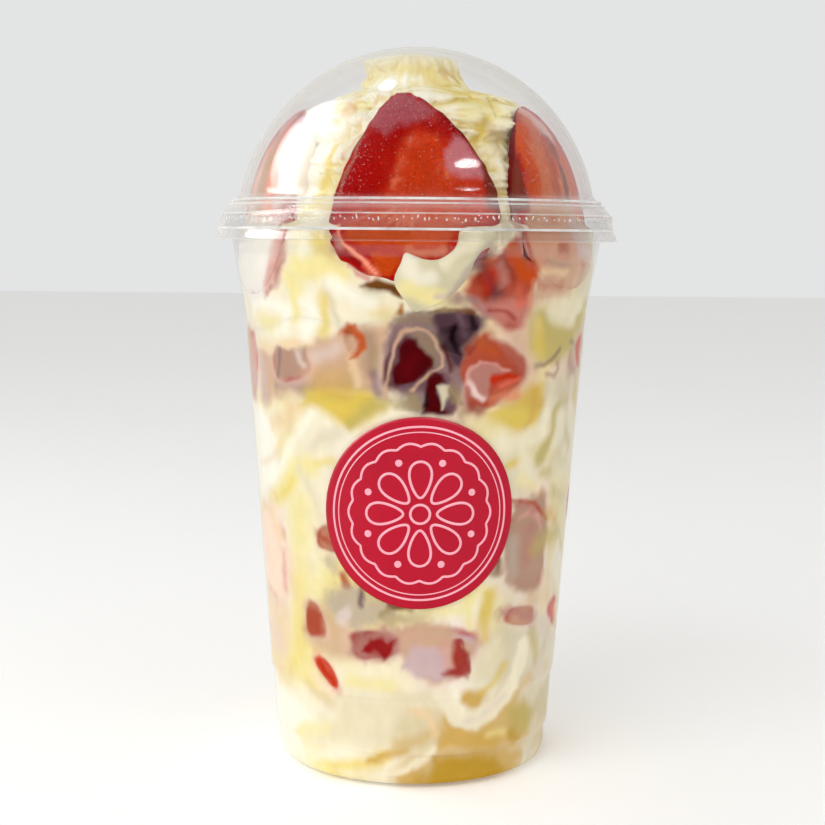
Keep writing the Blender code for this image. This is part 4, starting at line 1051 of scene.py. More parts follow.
def berry_colours(berry, across, along, share, seed):
    """A cut face: red border, orange flesh, paler core, fibres that fan out, dark rim and a film of cream.

    The whole numbers added to a place keep it above zero where its noise is looked up.
    """
    plain = HALF_LOOK if berry.half else FAR_LOOKS[seed // SEED_STEP * FAR_LOOK_STEP % len(FAR_LOOKS)]
    flesh, core, film, film_strength = BERRY_LOOKS.get(berry.name, plain)
    half_length = berry.size[1]
    reach = min(berry.size)
    inward = np.maximum(1.0 - share, 0.0) * reach
    border = (BORDER + BORDER_TO_TIP * along / half_length) if berry.half else -0.5 * reach
    up = along + FIBRE_MEET * half_length
    turn, out = np.arctan2(across, up), np.hypot(across, up)
    fibre = sum(amount * noise(turn * count + start, out * pitch + 5, seed + k)
                for k, (amount, count, start, pitch) in enumerate(FIBRES))
    cloud = noise(across * 0.2 + 30, along * 0.2 + 30, seed + 2)
    fine = noise(across * 0.9 + 60, along * 0.9 + 60, seed + 3)
    colours = np.broadcast_to(PAINTS["red"], across.shape + (3,)).copy()
    colours = lay(colours, flesh, step((inward - border * (0.7 + 0.6 * cloud)) / (FLESH_SOFT * reach)))
    in_core = step((inward - CORE_FROM * reach + 2.0 * cloud + fibre) / (CORE_SOFT * reach))
    colours = lay(colours, core, 0.75 * in_core)
    off_rim = step((inward - 1.5) / 4.0)
    colours = lay(colours, core, 0.4 * step(fibre * 1.8 - 0.2) * off_rim)
    colours = lay(colours, "flame", 0.35 * step(-fibre * 1.8 - 0.2) * off_rim)
    if berry.half:
        colours = lay(colours, "crimson", 0.7 * step(1.15 - inward / RIM_WIDTH + 0.5 * fine))
    return lay(colours, film, film_strength * step(0.75 + 0.9 * cloud + 0.25 * fine))


# Where the meetings' colours begin and how soft they are, in millimetres.
LOW_EDGE_EARLY = 1.5
LOW_EDGE_SOFT = 4.0
HIGH_EDGE_SOFT = 1.6
# How much a half's and a piece's painted edge follows the noise, and how soft it is.
HALF_UNEVEN_EDGE = 0.1
PIECE_UNEVEN_EDGE = 1.5
HALF_SOFT_EDGE = 0.02
PIECE_SOFT_EDGE = 0.32
# Juice reaches this far out from a piece, and round a half only this share of the way.
HALO_REACH = 1.8
HALF_HALO = 0.2
GRAIN_STRENGTH = 0.03


def wall_colours(angle, height, half_edge=0.9):
    """Colour at the wall: marbling, the layers' tints, strawberries with their juice, then all the entries.

    The cream and the berries that lie against the wall both take their colour from here, so it runs on from
    one to the other. A half's paint ends at half_edge of its outline, which on the cream is under the half.
    """
    shape = np.shape(angle)
    angle, height = np.ravel(angle), np.ravel(height)
    near, level = wobbled(angle, height)
    colours = marbling(angle, height)
    above_low = height - low_meeting(angle) + LOW_EDGE_EARLY
    low = step(added_noise(above_low, angle, height, LOW_EDGE) / LOW_EDGE_SOFT)
    high = step(added_noise(high_meeting(angle) - height, angle, height, HIGH_EDGE) / HIGH_EDGE_SOFT)
    stain = wall_noise(angle, height, 22, 9, 13)
    colours = lay(colours, "tan", low * high * (0.6 + 0.3 * stain))
    colours = lay(colours, "mauve", low * high * 0.6 * step(stain * 2 - 0.5))
    swirls = FOOT_SWIRLS + U_SWOOSH + SIDE_SWIRLS + MILKY_SMEARS + LOBE_SWIRLS_AND_SHADING
    for by, mirror, rise in REPEATS:
        colours = lay_entries(colours, near, level, turned(swirls, by, mirror, rise), CREAM_SOFTEN)
    colours = lay_entries(colours, near, level, swirls, CREAM_SOFTEN)
    places = around(angle, contents_reach(height), height)
    rough = added_noise(0.0, angle, height, FACE_EDGE)
    for index, berry in enumerate(BERRIES):
        across, along, share = berry.find(places)
        share = share + (HALF_UNEVEN_EDGE if berry.half else PIECE_UNEVEN_EDGE) * rough
        close = np.nonzero(share < HALO_REACH)[0]
        for name, strength, reach, inner in HALO_PAINTS:
            reach = 1.0 + (HALF_HALO if berry.half else 1.0) * (reach - 1.0)
            cover = strength * step((reach - share[close]) / (reach - inner))
            colours[close] = lay(colours[close], name, cover)
        soft = HALF_SOFT_EDGE if berry.half else PIECE_SOFT_EDGE
        edge = half_edge if berry.half else 1.0
        cover = step((edge + soft / 2 - share[close]) / soft)[:, None]
        face = berry_colours(berry, across[close], along[close], share[close], FACE_SEEDS + SEED_STEP * index)
        colours[close] = colours[close] * (1.0 - cover) + face * cover
    colours = lay_entries(colours, near, level, SHOULDER_HAZE + BERRY_MARKS, MARK_SOFTEN, MARKS_TORN)
    colours = lay_entries(colours, near, level, DOME_MARKS, torn=DOME_MARKS_TORN)
    grain = added_noise(0.0, angle, height, GRAIN)
    return np.clip(colours * (1.0 + GRAIN_STRENGTH * grain[:, None]), 0.0, 1.0).reshape(shape + (3,))


# Under a half the cream stands back this far from the wall, from just past its outline inwards.
HALF_DENT = 2.4
HALF_DENT_EDGE = 1.04
HALF_DENT_SOFT = 0.09
HALF_DENT_FROM = 2.5
HALF_DENT_RISE = 3.0
# In an air pocket it stands back by this share of the pocket's depth.
POCKET_DENT = 0.4
POCKET_SOFT = 0.6


def wall_dents(angle, height):
    """How far the cream stands back from the wall: behind the halves in the dome, and in the air pockets."""
    places = around(angle, contents_reach(height), height)
    rough = added_noise(0.0, angle, height, DENT_EDGE)
    dents = np.zeros(np.shape(angle))
    lifted = step((height - PRESS_UP_TO_Z + HALF_DENT_FROM) / HALF_DENT_RISE)
    for berry in BERRIES[:len(HALVES)]:
        share = berry.find(places)[2]
        cover = step((HALF_DENT_EDGE - share + rough) / HALF_DENT_SOFT)
        dents = np.maximum(dents, HALF_DENT * lifted * cover)
    for pocket in AIR:
        share = pocket.find(places)[2]
        dents = np.maximum(dents, POCKET_DENT * pocket.depth * step((1.0 - share + rough) / POCKET_SOFT))
    return dents


# ---- materials


NOISE_FINENESS = 0.55
# Noise lies mostly between these values.
NOISE_LOW = 0.3
NOISE_HIGH = 0.7


def node_look(name):
    """A new node material with nothing but its output, and a helper that adds nodes to it."""
    look = bpy.data.materials.new(name)
    look.use_nodes = True
    tree = look.node_tree
    tree.nodes.clear()
    output = tree.nodes.new("ShaderNodeOutputMaterial")

    def add(kind, inputs=None, **settings):
        node = tree.nodes.new(kind)
        for key, value in settings.items():
            setattr(node, key, value)
        for key, value in (inputs or {}).items():
            socket = node.inputs[key]
            if isinstance(value, bpy.types.NodeSocket):
                tree.links.new(value, socket)
            else:
                socket.default_value = value
        return node

    return look, add, output, tree


def object_noise(add, scale, detail=3.0):
    """Noise on Object coordinates; scale counts its features in a metre."""
    where = add("ShaderNodeTexCoord").outputs["Object"]
    return add("ShaderNodeTexNoise", {"Vector": where, "Scale": scale, "Detail": detail,
                                      "Roughness": NOISE_FINENESS})


def ranged(add, noise_node, to_low, to_high):
    """A noise's usual range spread over another, and held at its ends."""
    return add("ShaderNodeMapRange", {
        "Value": noise_node.outputs["Fac"], "From Min": NOISE_LOW, "From Max": NOISE_HIGH,
        "To Min": to_low, "To Max": to_high}).outputs["Result"]


# How far light soaks into food, in metres, and how its red, green and blue compare.
SOAK_DEPTH = 0.0015
SOAK_COLOURS = (1.0, 0.8, 0.65)
FOOD_IOR = 1.4
FOOD_RELIEF = 0.0006


def food_look(name, roughness, soft, bump, speckle, scale=900.0, shine=0.02):
    """Painted food: its paint varied by a fine speckle, light soaking in, and a low relief."""
    look, add, output, tree = node_look(name)
    paint_at = add("ShaderNodeAttribute", attribute_name="paint")
    fine = object_noise(add, scale)
    tone = ranged(add, fine, -speckle, speckle * 0.6)
    tone = add("ShaderNodeMath", {0: tone, 1: paint_at.outputs["Alpha"], 2: 1.0},
               operation="MULTIPLY_ADD").outputs[0]
    shade = add("ShaderNodeVectorMath", {0: paint_at.outputs["Color"], "Scale": tone}, operation="SCALE")
    relief = add("ShaderNodeBump", {"Height": fine.outputs["Fac"], "Strength": bump, "Distance": FOOD_RELIEF})
    gloss = ranged(add, fine, roughness - 0.06, roughness + 0.08)
    shader = add("ShaderNodeBsdfPrincipled", {
        "Base Color": shade.outputs["Vector"], "Roughness": gloss, "IOR": FOOD_IOR,
        "Subsurface Weight": soft, "Subsurface Radius": SOAK_COLOURS, "Subsurface Scale": SOAK_DEPTH,
        "Specular IOR Level": shine, "Normal": relief.outputs["Normal"]})
    tree.links.new(shader.outputs["BSDF"], output.inputs["Surface"])
    return look


CLEAR_TINT = (0.995, 0.996, 0.995, 1.0)
MILK_TINT = (0.88, 0.88, 0.86, 1.0)
# The mirror's strength face on, how quickly it and the milk grow towards the edges, and the haze's patches.
FACING_GLOSS = 0.0012
GRAZE_POWER = 4.0
HAZE_SCALE = 260.0
HAZE_LEAST = 0.7
HAZE_MOST = 1.3


def plastic_look(name, edge_gloss, edge_milk):
    """Thin clear plastic: mostly see-through, a mirror and a little milky where light grazes it, and hazy."""
    look, add, output, tree = node_look(name)
    clear = add("ShaderNodeBsdfTransparent", {"Color": CLEAR_TINT})
    mirror = add("ShaderNodeBsdfAnisotropic", {"Color": (1.0, 1.0, 1.0, 1.0), "Roughness": 0.05})
    facing = add("ShaderNodeLayerWeight", {"Blend": 0.5}).outputs["Facing"]
    graze = add("ShaderNodeMath", {0: facing, 1: GRAZE_POWER}, operation="POWER").outputs[0]
    gloss = add("ShaderNodeMath", {0: graze, 1: edge_gloss, 2: FACING_GLOSS}, operation="MULTIPLY_ADD")
    shell = add("ShaderNodeMixShader", {0: gloss.outputs[0], 1: clear.outputs[0], 2: mirror.outputs[0]})
    milk = add("ShaderNodeBsdfDiffuse", {"Color": MILK_TINT})
    amount = add("ShaderNodeAttribute", attribute_name="haze").outputs["Fac"]
    cloud = object_noise(add, HAZE_SCALE, detail=4.0)
    spread = add("ShaderNodeMapRange", {"Value": cloud.outputs["Fac"], "From Min": 0.25, "From Max": 0.75,
                                        "To Min": HAZE_LEAST, "To Max": HAZE_MOST})
    haze = add("ShaderNodeMath", {0: amount, 1: spread.outputs["Result"]}, operation="MULTIPLY").outputs[0]
    cover = add("ShaderNodeMath", {0: graze, 1: edge_milk, 2: haze}, operation="MULTIPLY_ADD")
    mixed = add("ShaderNodeMixShader", {0: cover.outputs[0], 1: shell.outputs[0], 2: milk.outputs[0]})
    tree.links.new(mixed.outputs[0], output.inputs["Surface"])
    return look


PLAIN_RELIEF = 0.0004
PLAIN_SHINE = 0.15


def plain_look(name, colour, roughness, scale, variation, bump=0.0, glow=0.0):
    """One colour varied a little by noise, for the sticker, its print and the floor."""
    look, add, output, tree = node_look(name)
    cloud = object_noise(add, scale, detail=4.0)
    tones = add("ShaderNodeValToRGB", {"Fac": cloud.outputs["Fac"]})
    ends = tones.color_ramp.elements
    for end, place, change in zip(ends, (NOISE_LOW, NOISE_HIGH), (-variation, variation)):
        end.position = place
        end.color = (*np.clip(PAINTS[colour] * (1.0 + change), 0, 1), 1.0)
    relief = add("ShaderNodeBump", {"Height": cloud.outputs["Fac"], "Strength": bump,
                                    "Distance": PLAIN_RELIEF})
    shader = add("ShaderNodeBsdfPrincipled", {
        "Base Color": tones.outputs["Color"], "Roughness": roughness, "Specular IOR Level": PLAIN_SHINE,
        "Emission Color": (1.0, 1.0, 1.0, 1.0), "Emission Strength": glow,
        "Normal": relief.outputs["Normal"]})
    tree.links.new(shader.outputs["BSDF"], output.inputs["Surface"])
    return look


# ---- cup and lid


FINE_RUN = 0.6
FINE_FROM_Z = 112.0
FINE_TO_Z = 147.0
CORNER_STEPS = 4
# A corner's curve takes up at most this share of the runs beside it.
CORNER_SHARE = 0.45


def finer(profile):
    """The profile with more points on its runs between two heights, where its haze changes."""
    made = [np.array(profile[0], float)]
    for start, end in zip(profile[:-1], profile[1:]):
        start, end = np.array(start, float), np.array(end, float)
        inside = min(start[1], end[1]) > FINE_FROM_Z and max(start[1], end[1]) < FINE_TO_Z
        parts = math.ceil(np.linalg.norm(end - start) / FINE_RUN) if inside else 1
        made += [start + (end - start) * k / parts for k in range(1, parts + 1)]
    return made


def turned_shell(name, profile, haze, look, nodes):
    """A shell turned from a closed profile of (radius, height) whose two ends lie on the axis."""
    profile = np.array(finer(profile))
    angles = np.arange(SHELL_COLUMNS) * 360.0 / SHELL_COLUMNS
    rings = profile[1:-1]
    body = around(angles[None, :], rings[:, :1], rings[:, 1:])
    tips = np.array([[0.0, 0.0, profile[0, 1]], [0.0, 0.0, profile[-1, 1]]])
    points = np.concatenate([body.reshape(-1, 3), tips])
    count = len(rings) * SHELL_COLUMNS
    quads = grid_quads(len(rings), SHELL_COLUMNS)
    ends = np.concatenate([fan(count, 0, SHELL_COLUMNS, flip=True),
                           fan(count + 1, (len(rings) - 1) * SHELL_COLUMNS, SHELL_COLUMNS)])
    per_ring = haze(profile[1:-1, 1], profile[1:-1, 0])
    values = np.concatenate([np.repeat(per_ring, SHELL_COLUMNS), np.zeros(2)])
    return make_piece(name, points, quads, ends, look, nodes, values={"haze": values})


def rounded(profile, reach):
    """The profile with each inner corner cut into a short curve that starts `reach` from it."""
    profile = [np.array(p, float) for p in profile]
    made = [profile[0]]
    for before, corner, after in zip(profile[:-2], profile[1:-1], profile[2:]):
        back, on = before - corner, after - corner
        first = corner + back / np.linalg.norm(back) * min(reach, np.linalg.norm(back) * CORNER_SHARE)
        last = corner + on / np.linalg.norm(on) * min(reach, np.linalg.norm(on) * CORNER_SHARE)
        for t in np.linspace(0.0, 1.0, CORNER_STEPS):
            made.append((1 - t) ** 2 * first + 2 * t * (1 - t) * corner + t ** 2 * last)
    made.append(profile[-1])
    return made


def moved_in(profile, distance):
    """The profile moved sideways by a distance, to the left of its direction of travel."""
    profile = np.array(profile, float)
    runs = np.diff(profile, axis=0)
    runs /= np.linalg.norm(runs, axis=1, keepdims=True)
    way = np.concatenate([runs[:1], runs[:-1] + runs[1:], runs[-1:]])
    way /= np.linalg.norm(way, axis=1, keepdims=True)
    moved = profile + np.stack((-way[:, 1], way[:, 0]), 1) * distance
    moved[0, 0] = 0.0
    return [tuple(p) for p in moved]


# Haze: everywhere, round the cup's neck, foot and upper edge, and on the lid's band, slope and lower edge.
CLEAR_HAZE = 0.0005
NECK_HAZE = 0.03
NECK_HAZE_Z = 130.9
FOOT_HAZE = 0.03
EDGE_HAZE = 0.006
BAND_HAZE = 0.035
SLOPE_HAZE = 0.08
SLOPE_HAZE_Z = 142.0
SKIRT_HAZE = 0.06
CUP_CORNER = 1.6
BEAD_CORNER = 0.8
LID_CORNER = 0.7
DOME_ROWS = 40


def build_cup(look):
    """The cup: outer side with its two steps, the bead, then the inner side back down to the middle."""
    outer = [(0.0, BASE_HOLLOW_Z), (BASE_HOLLOW_R, BASE_HOLLOW_Z), (FOOT_IN_R, 0.0), (FOOT_OUT_R, 0.0),
             (FOOT_WALL_R, FOOT_ROUND + 0.4)] + [(r, z) for z, r in CUP_WALL[1:]]
    outer = rounded(outer, CUP_CORNER)
    inner = moved_in(outer, WALL)
    bead_mid = (BEAD_LOW_Z + BEAD_TOP_Z) / 2
    bead = rounded([outer[-1], (NECK_R + 0.3, BEAD_LOW_Z - 0.9), (BEAD_R - 0.6, BEAD_LOW_Z),
                    (BEAD_R, bead_mid), (BEAD_R - 0.7, BEAD_TOP_Z), (NECK_R + 0.5, BEAD_TOP_Z),
                    (NECK_R - WALL + 0.1, bead_mid), inner[-1]], BEAD_CORNER)[1:-1]

    def haze(height, radius):
        neck = NECK_HAZE * step((height - NECK_HAZE_Z) / 0.5) * step((NECK_Z + 0.4 - height) / 0.5)
        edge = EDGE_HAZE * step((height - NECK_Z - 0.5) / 3.0)
        return CLEAR_HAZE + neck + edge + FOOT_HAZE * step((3.0 - height) / 3.0)

    return turned_shell("clear_cup", outer + bead + inner[::-1], haze, look, ["cup"])


def build_lid(look):
    """The lid: inner side from the apex down, round the skirt's edge, then the outer side up to the apex."""

    def dome(radius, start_z):
        first = math.asin((start_z - DOME_CENTRE_Z) / radius)
        turns = np.linspace(first, math.pi / 2, DOME_ROWS)
        row = [(radius * math.cos(t), DOME_CENTRE_Z + radius * math.sin(t)) for t in turns]
        row[-1] = (0.0, row[-1][1])
        return row

    inner = rounded([(BAND_TOP_R - LID_WALL - 3.0, LEDGE_Z - 1.2), (BAND_TOP_R - LID_WALL, BAND_TOP_Z - 0.35),
                     (FOLD_R - LID_WALL, FOLD_Z), (SKIRT_R - LID_WALL, SKIRT_Z)], LID_CORNER)[1:]
    outer = rounded([(SKIRT_R - LID_WALL, SKIRT_Z), (SKIRT_R, SKIRT_Z), (FOLD_R, FOLD_Z),
                     (BAND_TOP_R, BAND_TOP_Z), (DOME_R + 0.6, LEDGE_Z - 0.6)], LID_CORNER)[1:-1]
    profile = dome(DOME_R - LID_WALL, LEDGE_Z - 0.2)[::-1] + inner + outer + dome(DOME_R, LEDGE_Z)

    def haze(height, radius):
        band = BAND_HAZE * step((LEDGE_Z - 0.6 - height) / 0.8) * step(height - FOLD_Z)
        slope = SLOPE_HAZE * step((height - SLOPE_HAZE_Z) / 0.6) * step((LEDGE_Z - 1.0 - height) / 0.6)
        return CLEAR_HAZE + band + slope + SKIRT_HAZE * step((SKIRT_Z + 0.5 - height) / 0.4)

    return turned_shell("clear_dome_lid", profile, haze, look, ["dome_lid"])


# ---- cream


def filled_ring_stack(name, rings, colours, look, nodes):
    """A closed solid from rows of points, the first and last drawn in to a tip on the axis."""
    rows, columns = rings.shape[:2]
    tips = np.array([[0.0, 0.0, rings[0, :, 2].mean()], [0.0, 0.0, rings[-1, :, 2].mean()]])
    points = np.concatenate([rings.reshape(-1, 3), tips])
    count = rows * columns
    triangles = np.concatenate([fan(count, 0, columns, flip=True),
                                fan(count + 1, (rows - 1) * columns, columns)])
    full = np.concatenate([colours.reshape(-1, 3), colours[0, :1], colours[-1, :1]])
    return make_piece(name, points, grid_quads(rows, columns), triangles, look, nodes, colours=full)


def wall_angles():
    """Angles of the wall's columns: close together in front and wider apart round the far side."""
    front = np.linspace(-FRONT_REACH, FRONT_REACH, FRONT_COLUMNS, endpoint=False)
    return np.concatenate([front, np.linspace(FRONT_REACH, 360.0 - FRONT_REACH, FAR_COLUMNS, endpoint=False)])


# Share of a wall's height between its edge and the row beside it.
CRISP = 0.0008
# Shares of the way out from the axis at which a layer's flat bottom has its rings; its top has them reversed.
CAP_SHARES = (0.6, 0.98)


def tight_rise(rows):
    """Shares from 0 to 1 up a wall, with a row close to each end that keeps the edge there crisp."""
    return np.concatenate([[0.0, CRISP], np.linspace(0.0, 1.0, rows)[1:-1], [1.0 - CRISP, 1.0]])[:, None]


def wall_rows(angles, heights):
    """Points of the cream at the wall: just inside the plastic, less the dents."""
    angle, height = np.broadcast_arrays(angles[None, :], heights)
    radius = contents_reach(height) + FIT_GAP + INTO_WALL - wall_dents(angle, height)
    return around(angle, radius, height), wall_colours(angle, height)


def cap_rows(edge, shares):
    """Rings drawn in from an edge ring towards the axis by each share, at the edge's own heights."""
    shares = np.array(shares)[:, None, None]
    return edge[None] * np.concatenate([np.repeat(shares, 2, -1), np.ones_like(shares)], -1)


def with_ends(colours, before, after):
    """Rows of colours with the first repeated for the rings before them and the last for the rings after."""
    return np.concatenate([np.repeat(colours[:1], before, 0), colours, np.repeat(colours[-1:], after, 0)])


def build_marbled_cream(look):
    """Marbled cream from the floor of the cup to the lower meeting: its bottom, its wall and its top."""
    angles = wall_angles()
    rise = tight_rise(MARBLED_ROWS)
    start = FOOT_ROUND + 0.3
    heights = start + (low_meeting(angles)[None] - start) * rise
    wall, colours = wall_rows(angles, heights)
    floor_z = WALL - 0.2
    bottom = np.stack([around(angles, r, z) for r, z in (
        (BASE_HOLLOW_R + 0.4, BASE_HOLLOW_Z + floor_z), (FOOT_IN_R + 0.3, floor_z),
        (FOOT_OUT_R - 0.4, floor_z), (FOOT_WALL_R - WALL - 0.5, FOOT_ROUND * 0.45))])
    rings = np.concatenate([bottom, wall, cap_rows(wall[-1], CAP_SHARES[::-1])])
    tints = with_ends(colours, len(bottom), len(CAP_SHARES))
    return filled_ring_stack("marbled_cream_fill", rings, tints, look, ["marbled_cream"])


def build_milky_layer(look):
    """The looser, milky layer between the two meetings."""
    angles = wall_angles()
    rise = tight_rise(LAYER_ROWS)
    heights = low_meeting(angles)[None] + (high_meeting(angles) - low_meeting(angles))[None] * rise
    wall, colours = wall_rows(angles, heights)
    rings = np.concatenate([cap_rows(wall[0], CAP_SHARES), wall, cap_rows(wall[-1], CAP_SHARES[::-1])])
    tints = with_ends(colours, len(CAP_SHARES), len(CAP_SHARES))
    return filled_ring_stack("milky_layer_fill", rings, tints, look, ["berry_cream_layer"])


def lumps(angle, height, radius, flat, size, seed):
    """Lumps of one size all over a turned surface: noise on three planes, mixed by which way it faces."""
    turn = np.radians(angle)
    x = radius * np.sin(turn) / size + LUMPS_LIFT
    y = LUMPS_LIFT - radius * np.cos(turn) / size
    z = height / size
    side, face = np.sin(turn) ** 2 * (1 - flat), np.cos(turn) ** 2 * (1 - flat)
    mixed = side * noise(y, z, seed) + face * noise(x, z, seed + 1) + flat * noise(x, y, seed + 2)
    return np.abs(mixed) / np.sqrt(side ** 2 + face ** 2 + flat ** 2)


# Layers of noise that bend the flutes and tiers: amount, cells in a turn, a cell's height and seed.
MOUND_BEND = ((9, 9, 14, 31),)
MOUND_RISE = ((2.6, 11, 10, 32),)
GROW_UP = 12.0
TIER_DEPTH = 1.7
TIER_MIDDLE = 0.7
TIER_POWER = 0.7
TIER_WIND = 0.5
FLUTE_SHARE = 0.3
# Half the height over which the profile's fall is taken, and the falls at which it begins to count as flat.
FALL_REACH = 1.5
FLAT_FROM = 0.8
FLAT_SOFT = 1.5
BROAD_DEPTH = 2.2
CURD_DEPTH = 1.9
RELIEF_LOWER = 2.0


def mound_radius(angle, height):
    """Radius of the piped mound, its relief and its curd: a profile, tiers that wind up it, and lumps.

    The tiers are the size of a sine of height / pitch - turn; lumps of four sizes lie on them.
    """
    profile = np.transpose(MOUND)
    plain = np.interp(height, *profile)
    swell_angle, swell_height, swell_reach, swell_size = MOUND_SWELL
    swell = np.cos(np.radians(angle - swell_angle)) * np.exp(-((height - swell_height) / swell_reach) ** 2)
    grow = np.clip((height - MOUND[0][0]) / GROW_UP, 0.0, 1.0)
    bent = added_noise(angle, angle, height, MOUND_BEND)
    level = added_noise(height, angle, height, MOUND_RISE)
    tier = np.abs(np.sin(np.radians(180.0 * level / RUFFLE_PITCH - TIER_WIND * angle))) ** TIER_POWER
    flute = np.cos(np.radians(FLUTES * bent + FLUTE_TWIST * 10.0 * height))
    fall = np.interp(height - FALL_REACH, *profile) - np.interp(height + FALL_REACH, *profile)
    flat = step((fall / (2 * FALL_REACH) - FLAT_FROM) / FLAT_SOFT)
    broad, mid, fine, crumb = (lumps(bent, level, plain, flat, *size) for size in LUMPS)
    wide = 0.45 + 0.55 * step((plain - 12.0) / 10.0)
    curd = mid + 0.7 * fine + 0.4 * crumb
    relief = TIER_DEPTH * (tier - TIER_MIDDLE) + FLUTE_SHARE * FLUTE_DEPTH * flute
    relief = relief + wide * (BROAD_DEPTH * broad + CURD_DEPTH * curd) - RELIEF_LOWER
    return plain + swell_size * swell + grow * relief, relief, curd


MOUND_STROKES = (
    # The white area on the mound's left is white cream under a painted glare of the light to the left.
    ("white", 0.9, FILL, 5, (-78, 168), (-50, 163), (-40, 158), (-37, 144), (-84, 142)),
    ("sand", 0.8, 2.4, 3, (-52, 166), (-44, 166)),
    ("cream", 0.7, 2, 3, (-34, 163.5), (-32, 158)),
    ("yellow", 0.85, 1.6, 2.4, (-37.5, 156), (-38, 150), (-36, 144)),
    ("sand", 0.7, 0.8, 1.4, (-25, 169), (-28, 163), (-29.5, 156), (-29.6, 148)),
    ("yellow", 0.6, 1.6, 2.4, (-24, 176.6), (10, 177), (26, 176.8)),
    ("gold", 0.85, 1.4, 2, (40, 176.6), (60, 176)),
    # The white stroke under the slab is a painted highlight.
    ("white", 0.6, 1.4, 2.4, (-40, 174), (-10, 173.6), (12, 174)),
    ("lemon", 0.6, 2.4, 3.4, (24, 166), (50, 165)),
    ("gold", 0.9, 1.3, 2, (50, 163), (55, 160)),
    ("shade", 0.8, 2.4, 3, (36, 160), (37.6, 153), (35, 147), (33, 140)),
    ("cream", 0.7, 1.4, 2.4, (44, 157.4), (50, 155)),
)


def mound_colours(angle, height, relief, curd):
    """Whipped cream in the dome: white on its lumps as a painted highlight, yellow in its creases that is
    partly painted shade, then its brush strokes.
    """
    colours = np.broadcast_to(PAINTS["cream"], np.shape(angle) + (3,)).copy()
    # Yellow in the creases is partly the cream's tint and partly painted shade.
    crease_tint_and_shade = step(0.5 - 0.4 * relief)
    drift = wall_noise(angle, height, 12, 10, 41)
    right = step((angle - 5.0) / 30.0) * step((110.0 - angle) / 30.0)
    colours = lay(colours, "lemon", 0.3 + 0.4 * crease_tint_and_shade)
    colours = lay(colours, "corn", (0.35 + 0.5 * right) * step(1.25 + 0.3 * right - 2.4 * curd))
    colours = lay(colours, "corn", (0.3 + 0.3 * right) * crease_tint_and_shade * step(0.5 + 0.8 * drift))
    # White on the tops of the lumps is a painted highlight.
    colours = lay(colours, "white", 0.75 * step(0.25 * relief + 1.1 * curd - 0.5) * step(0.8 - 0.8 * drift))
    shape = colours.shape
    near, level = wobbled(np.ravel(angle), np.ravel(height))
    return lay_entries(colours.reshape(-1, 3), near, level, MOUND_STROKES, torn=MOUND_TORN).reshape(shape)


# The mound begins flush with the wall and leaves it over these heights, in shape and in colour.
JOIN_SHAPE = 3.0
JOIN_COLOUR = 6.0
JOIN_GAP = 0.1
SLAB_FROM_Z = 168.0
SLAB_SOFT = 6.0
# The peak's rings, as shares of the slab's last one, and how uneven they are.
PEAK_SHARES = (0.96, 0.88, 0.74, 0.55, 0.3)
PEAK_UNEVEN = 0.25


def build_whipped_top(look):
    """Whipped cream: its shoulder at the wall, then the piped mound up to its peak."""
    angles = wall_angles()
    shoulder_z = MOUND[0][0]
    rise = tight_rise(SHOULDER_ROWS)
    heights = high_meeting(angles)[None] + (shoulder_z - high_meeting(angles))[None] * rise
    wall, wall_tints = wall_rows(angles, heights)
    up = np.linspace(0.0, 1.0, MOUND_ROWS + 1)[1:, None]
    turn, mound_z = np.broadcast_arrays(angles[None], shoulder_z + (MOUND[-1][0] - shoulder_z) * up)
    radius, relief, curd = mound_radius(turn, mound_z)
    join = step((mound_z - shoulder_z) / JOIN_SHAPE)
    wall_r = contents_reach(mound_z) + FIT_GAP - JOIN_GAP
    radius = np.minimum(radius * join + wall_r * (1 - join), contents_reach(mound_z))
    mound = around(turn, radius, mound_z)
    mound[..., 0] -= SLAB_LEFT * step((mound_z - SLAB_FROM_Z) / SLAB_SOFT)
    mound_tints = mound_colours(turn, mound_z, relief, curd)
    blend = step((mound_z - shoulder_z) / JOIN_COLOUR)[..., None]
    mound_tints = mound_tints * blend + wall_colours(turn, mound_z) * (1 - blend)
    slab = np.array((-SLAB_LEFT, 0.0, 0.0))
    peak = []
    for share in PEAK_SHARES:
        ring = (mound[-1] - slab) * np.array((share, share, 1.0)) + slab
        ring[:, 2] = MOUND[-1][0] + (MOUND_TOP_Z - MOUND[-1][0]) * math.sqrt(1 - share ** 2)
        ring[:, 2] += PEAK_UNEVEN * wall_noise(angles, share * 20.0, 12, 3, 35)
        peak.append(ring)
    rings = np.concatenate([cap_rows(wall[0], CAP_SHARES), wall, mound, np.stack(peak)])
    tints = with_ends(np.concatenate([wall_tints, mound_tints]), len(CAP_SHARES), len(peak))
    return filled_ring_stack("whipped_cream_mound", rings, tints, look,
                             ["whipped_cream_top"])


def smooth_through(values, at):
    """Values between given ones by a Catmull-Rom curve, which passes through every one of them."""
    padded = np.concatenate([[2 * values[0] - values[1]], values, [2 * values[-1] - values[-2]]])
    i = np.clip(np.floor(at).astype(int), 0, len(values) - 2)
    t = at - i
    p0, p1, p2, p3 = (padded[i + k] for k in range(4))
    return 0.5 * (2 * p1 + (p2 - p0) * t + (2 * p0 - 5 * p1 + 4 * p2 - p3) * t ** 2
                  + (3 * p1 - p0 - 3 * p2 + p3) * t ** 3)


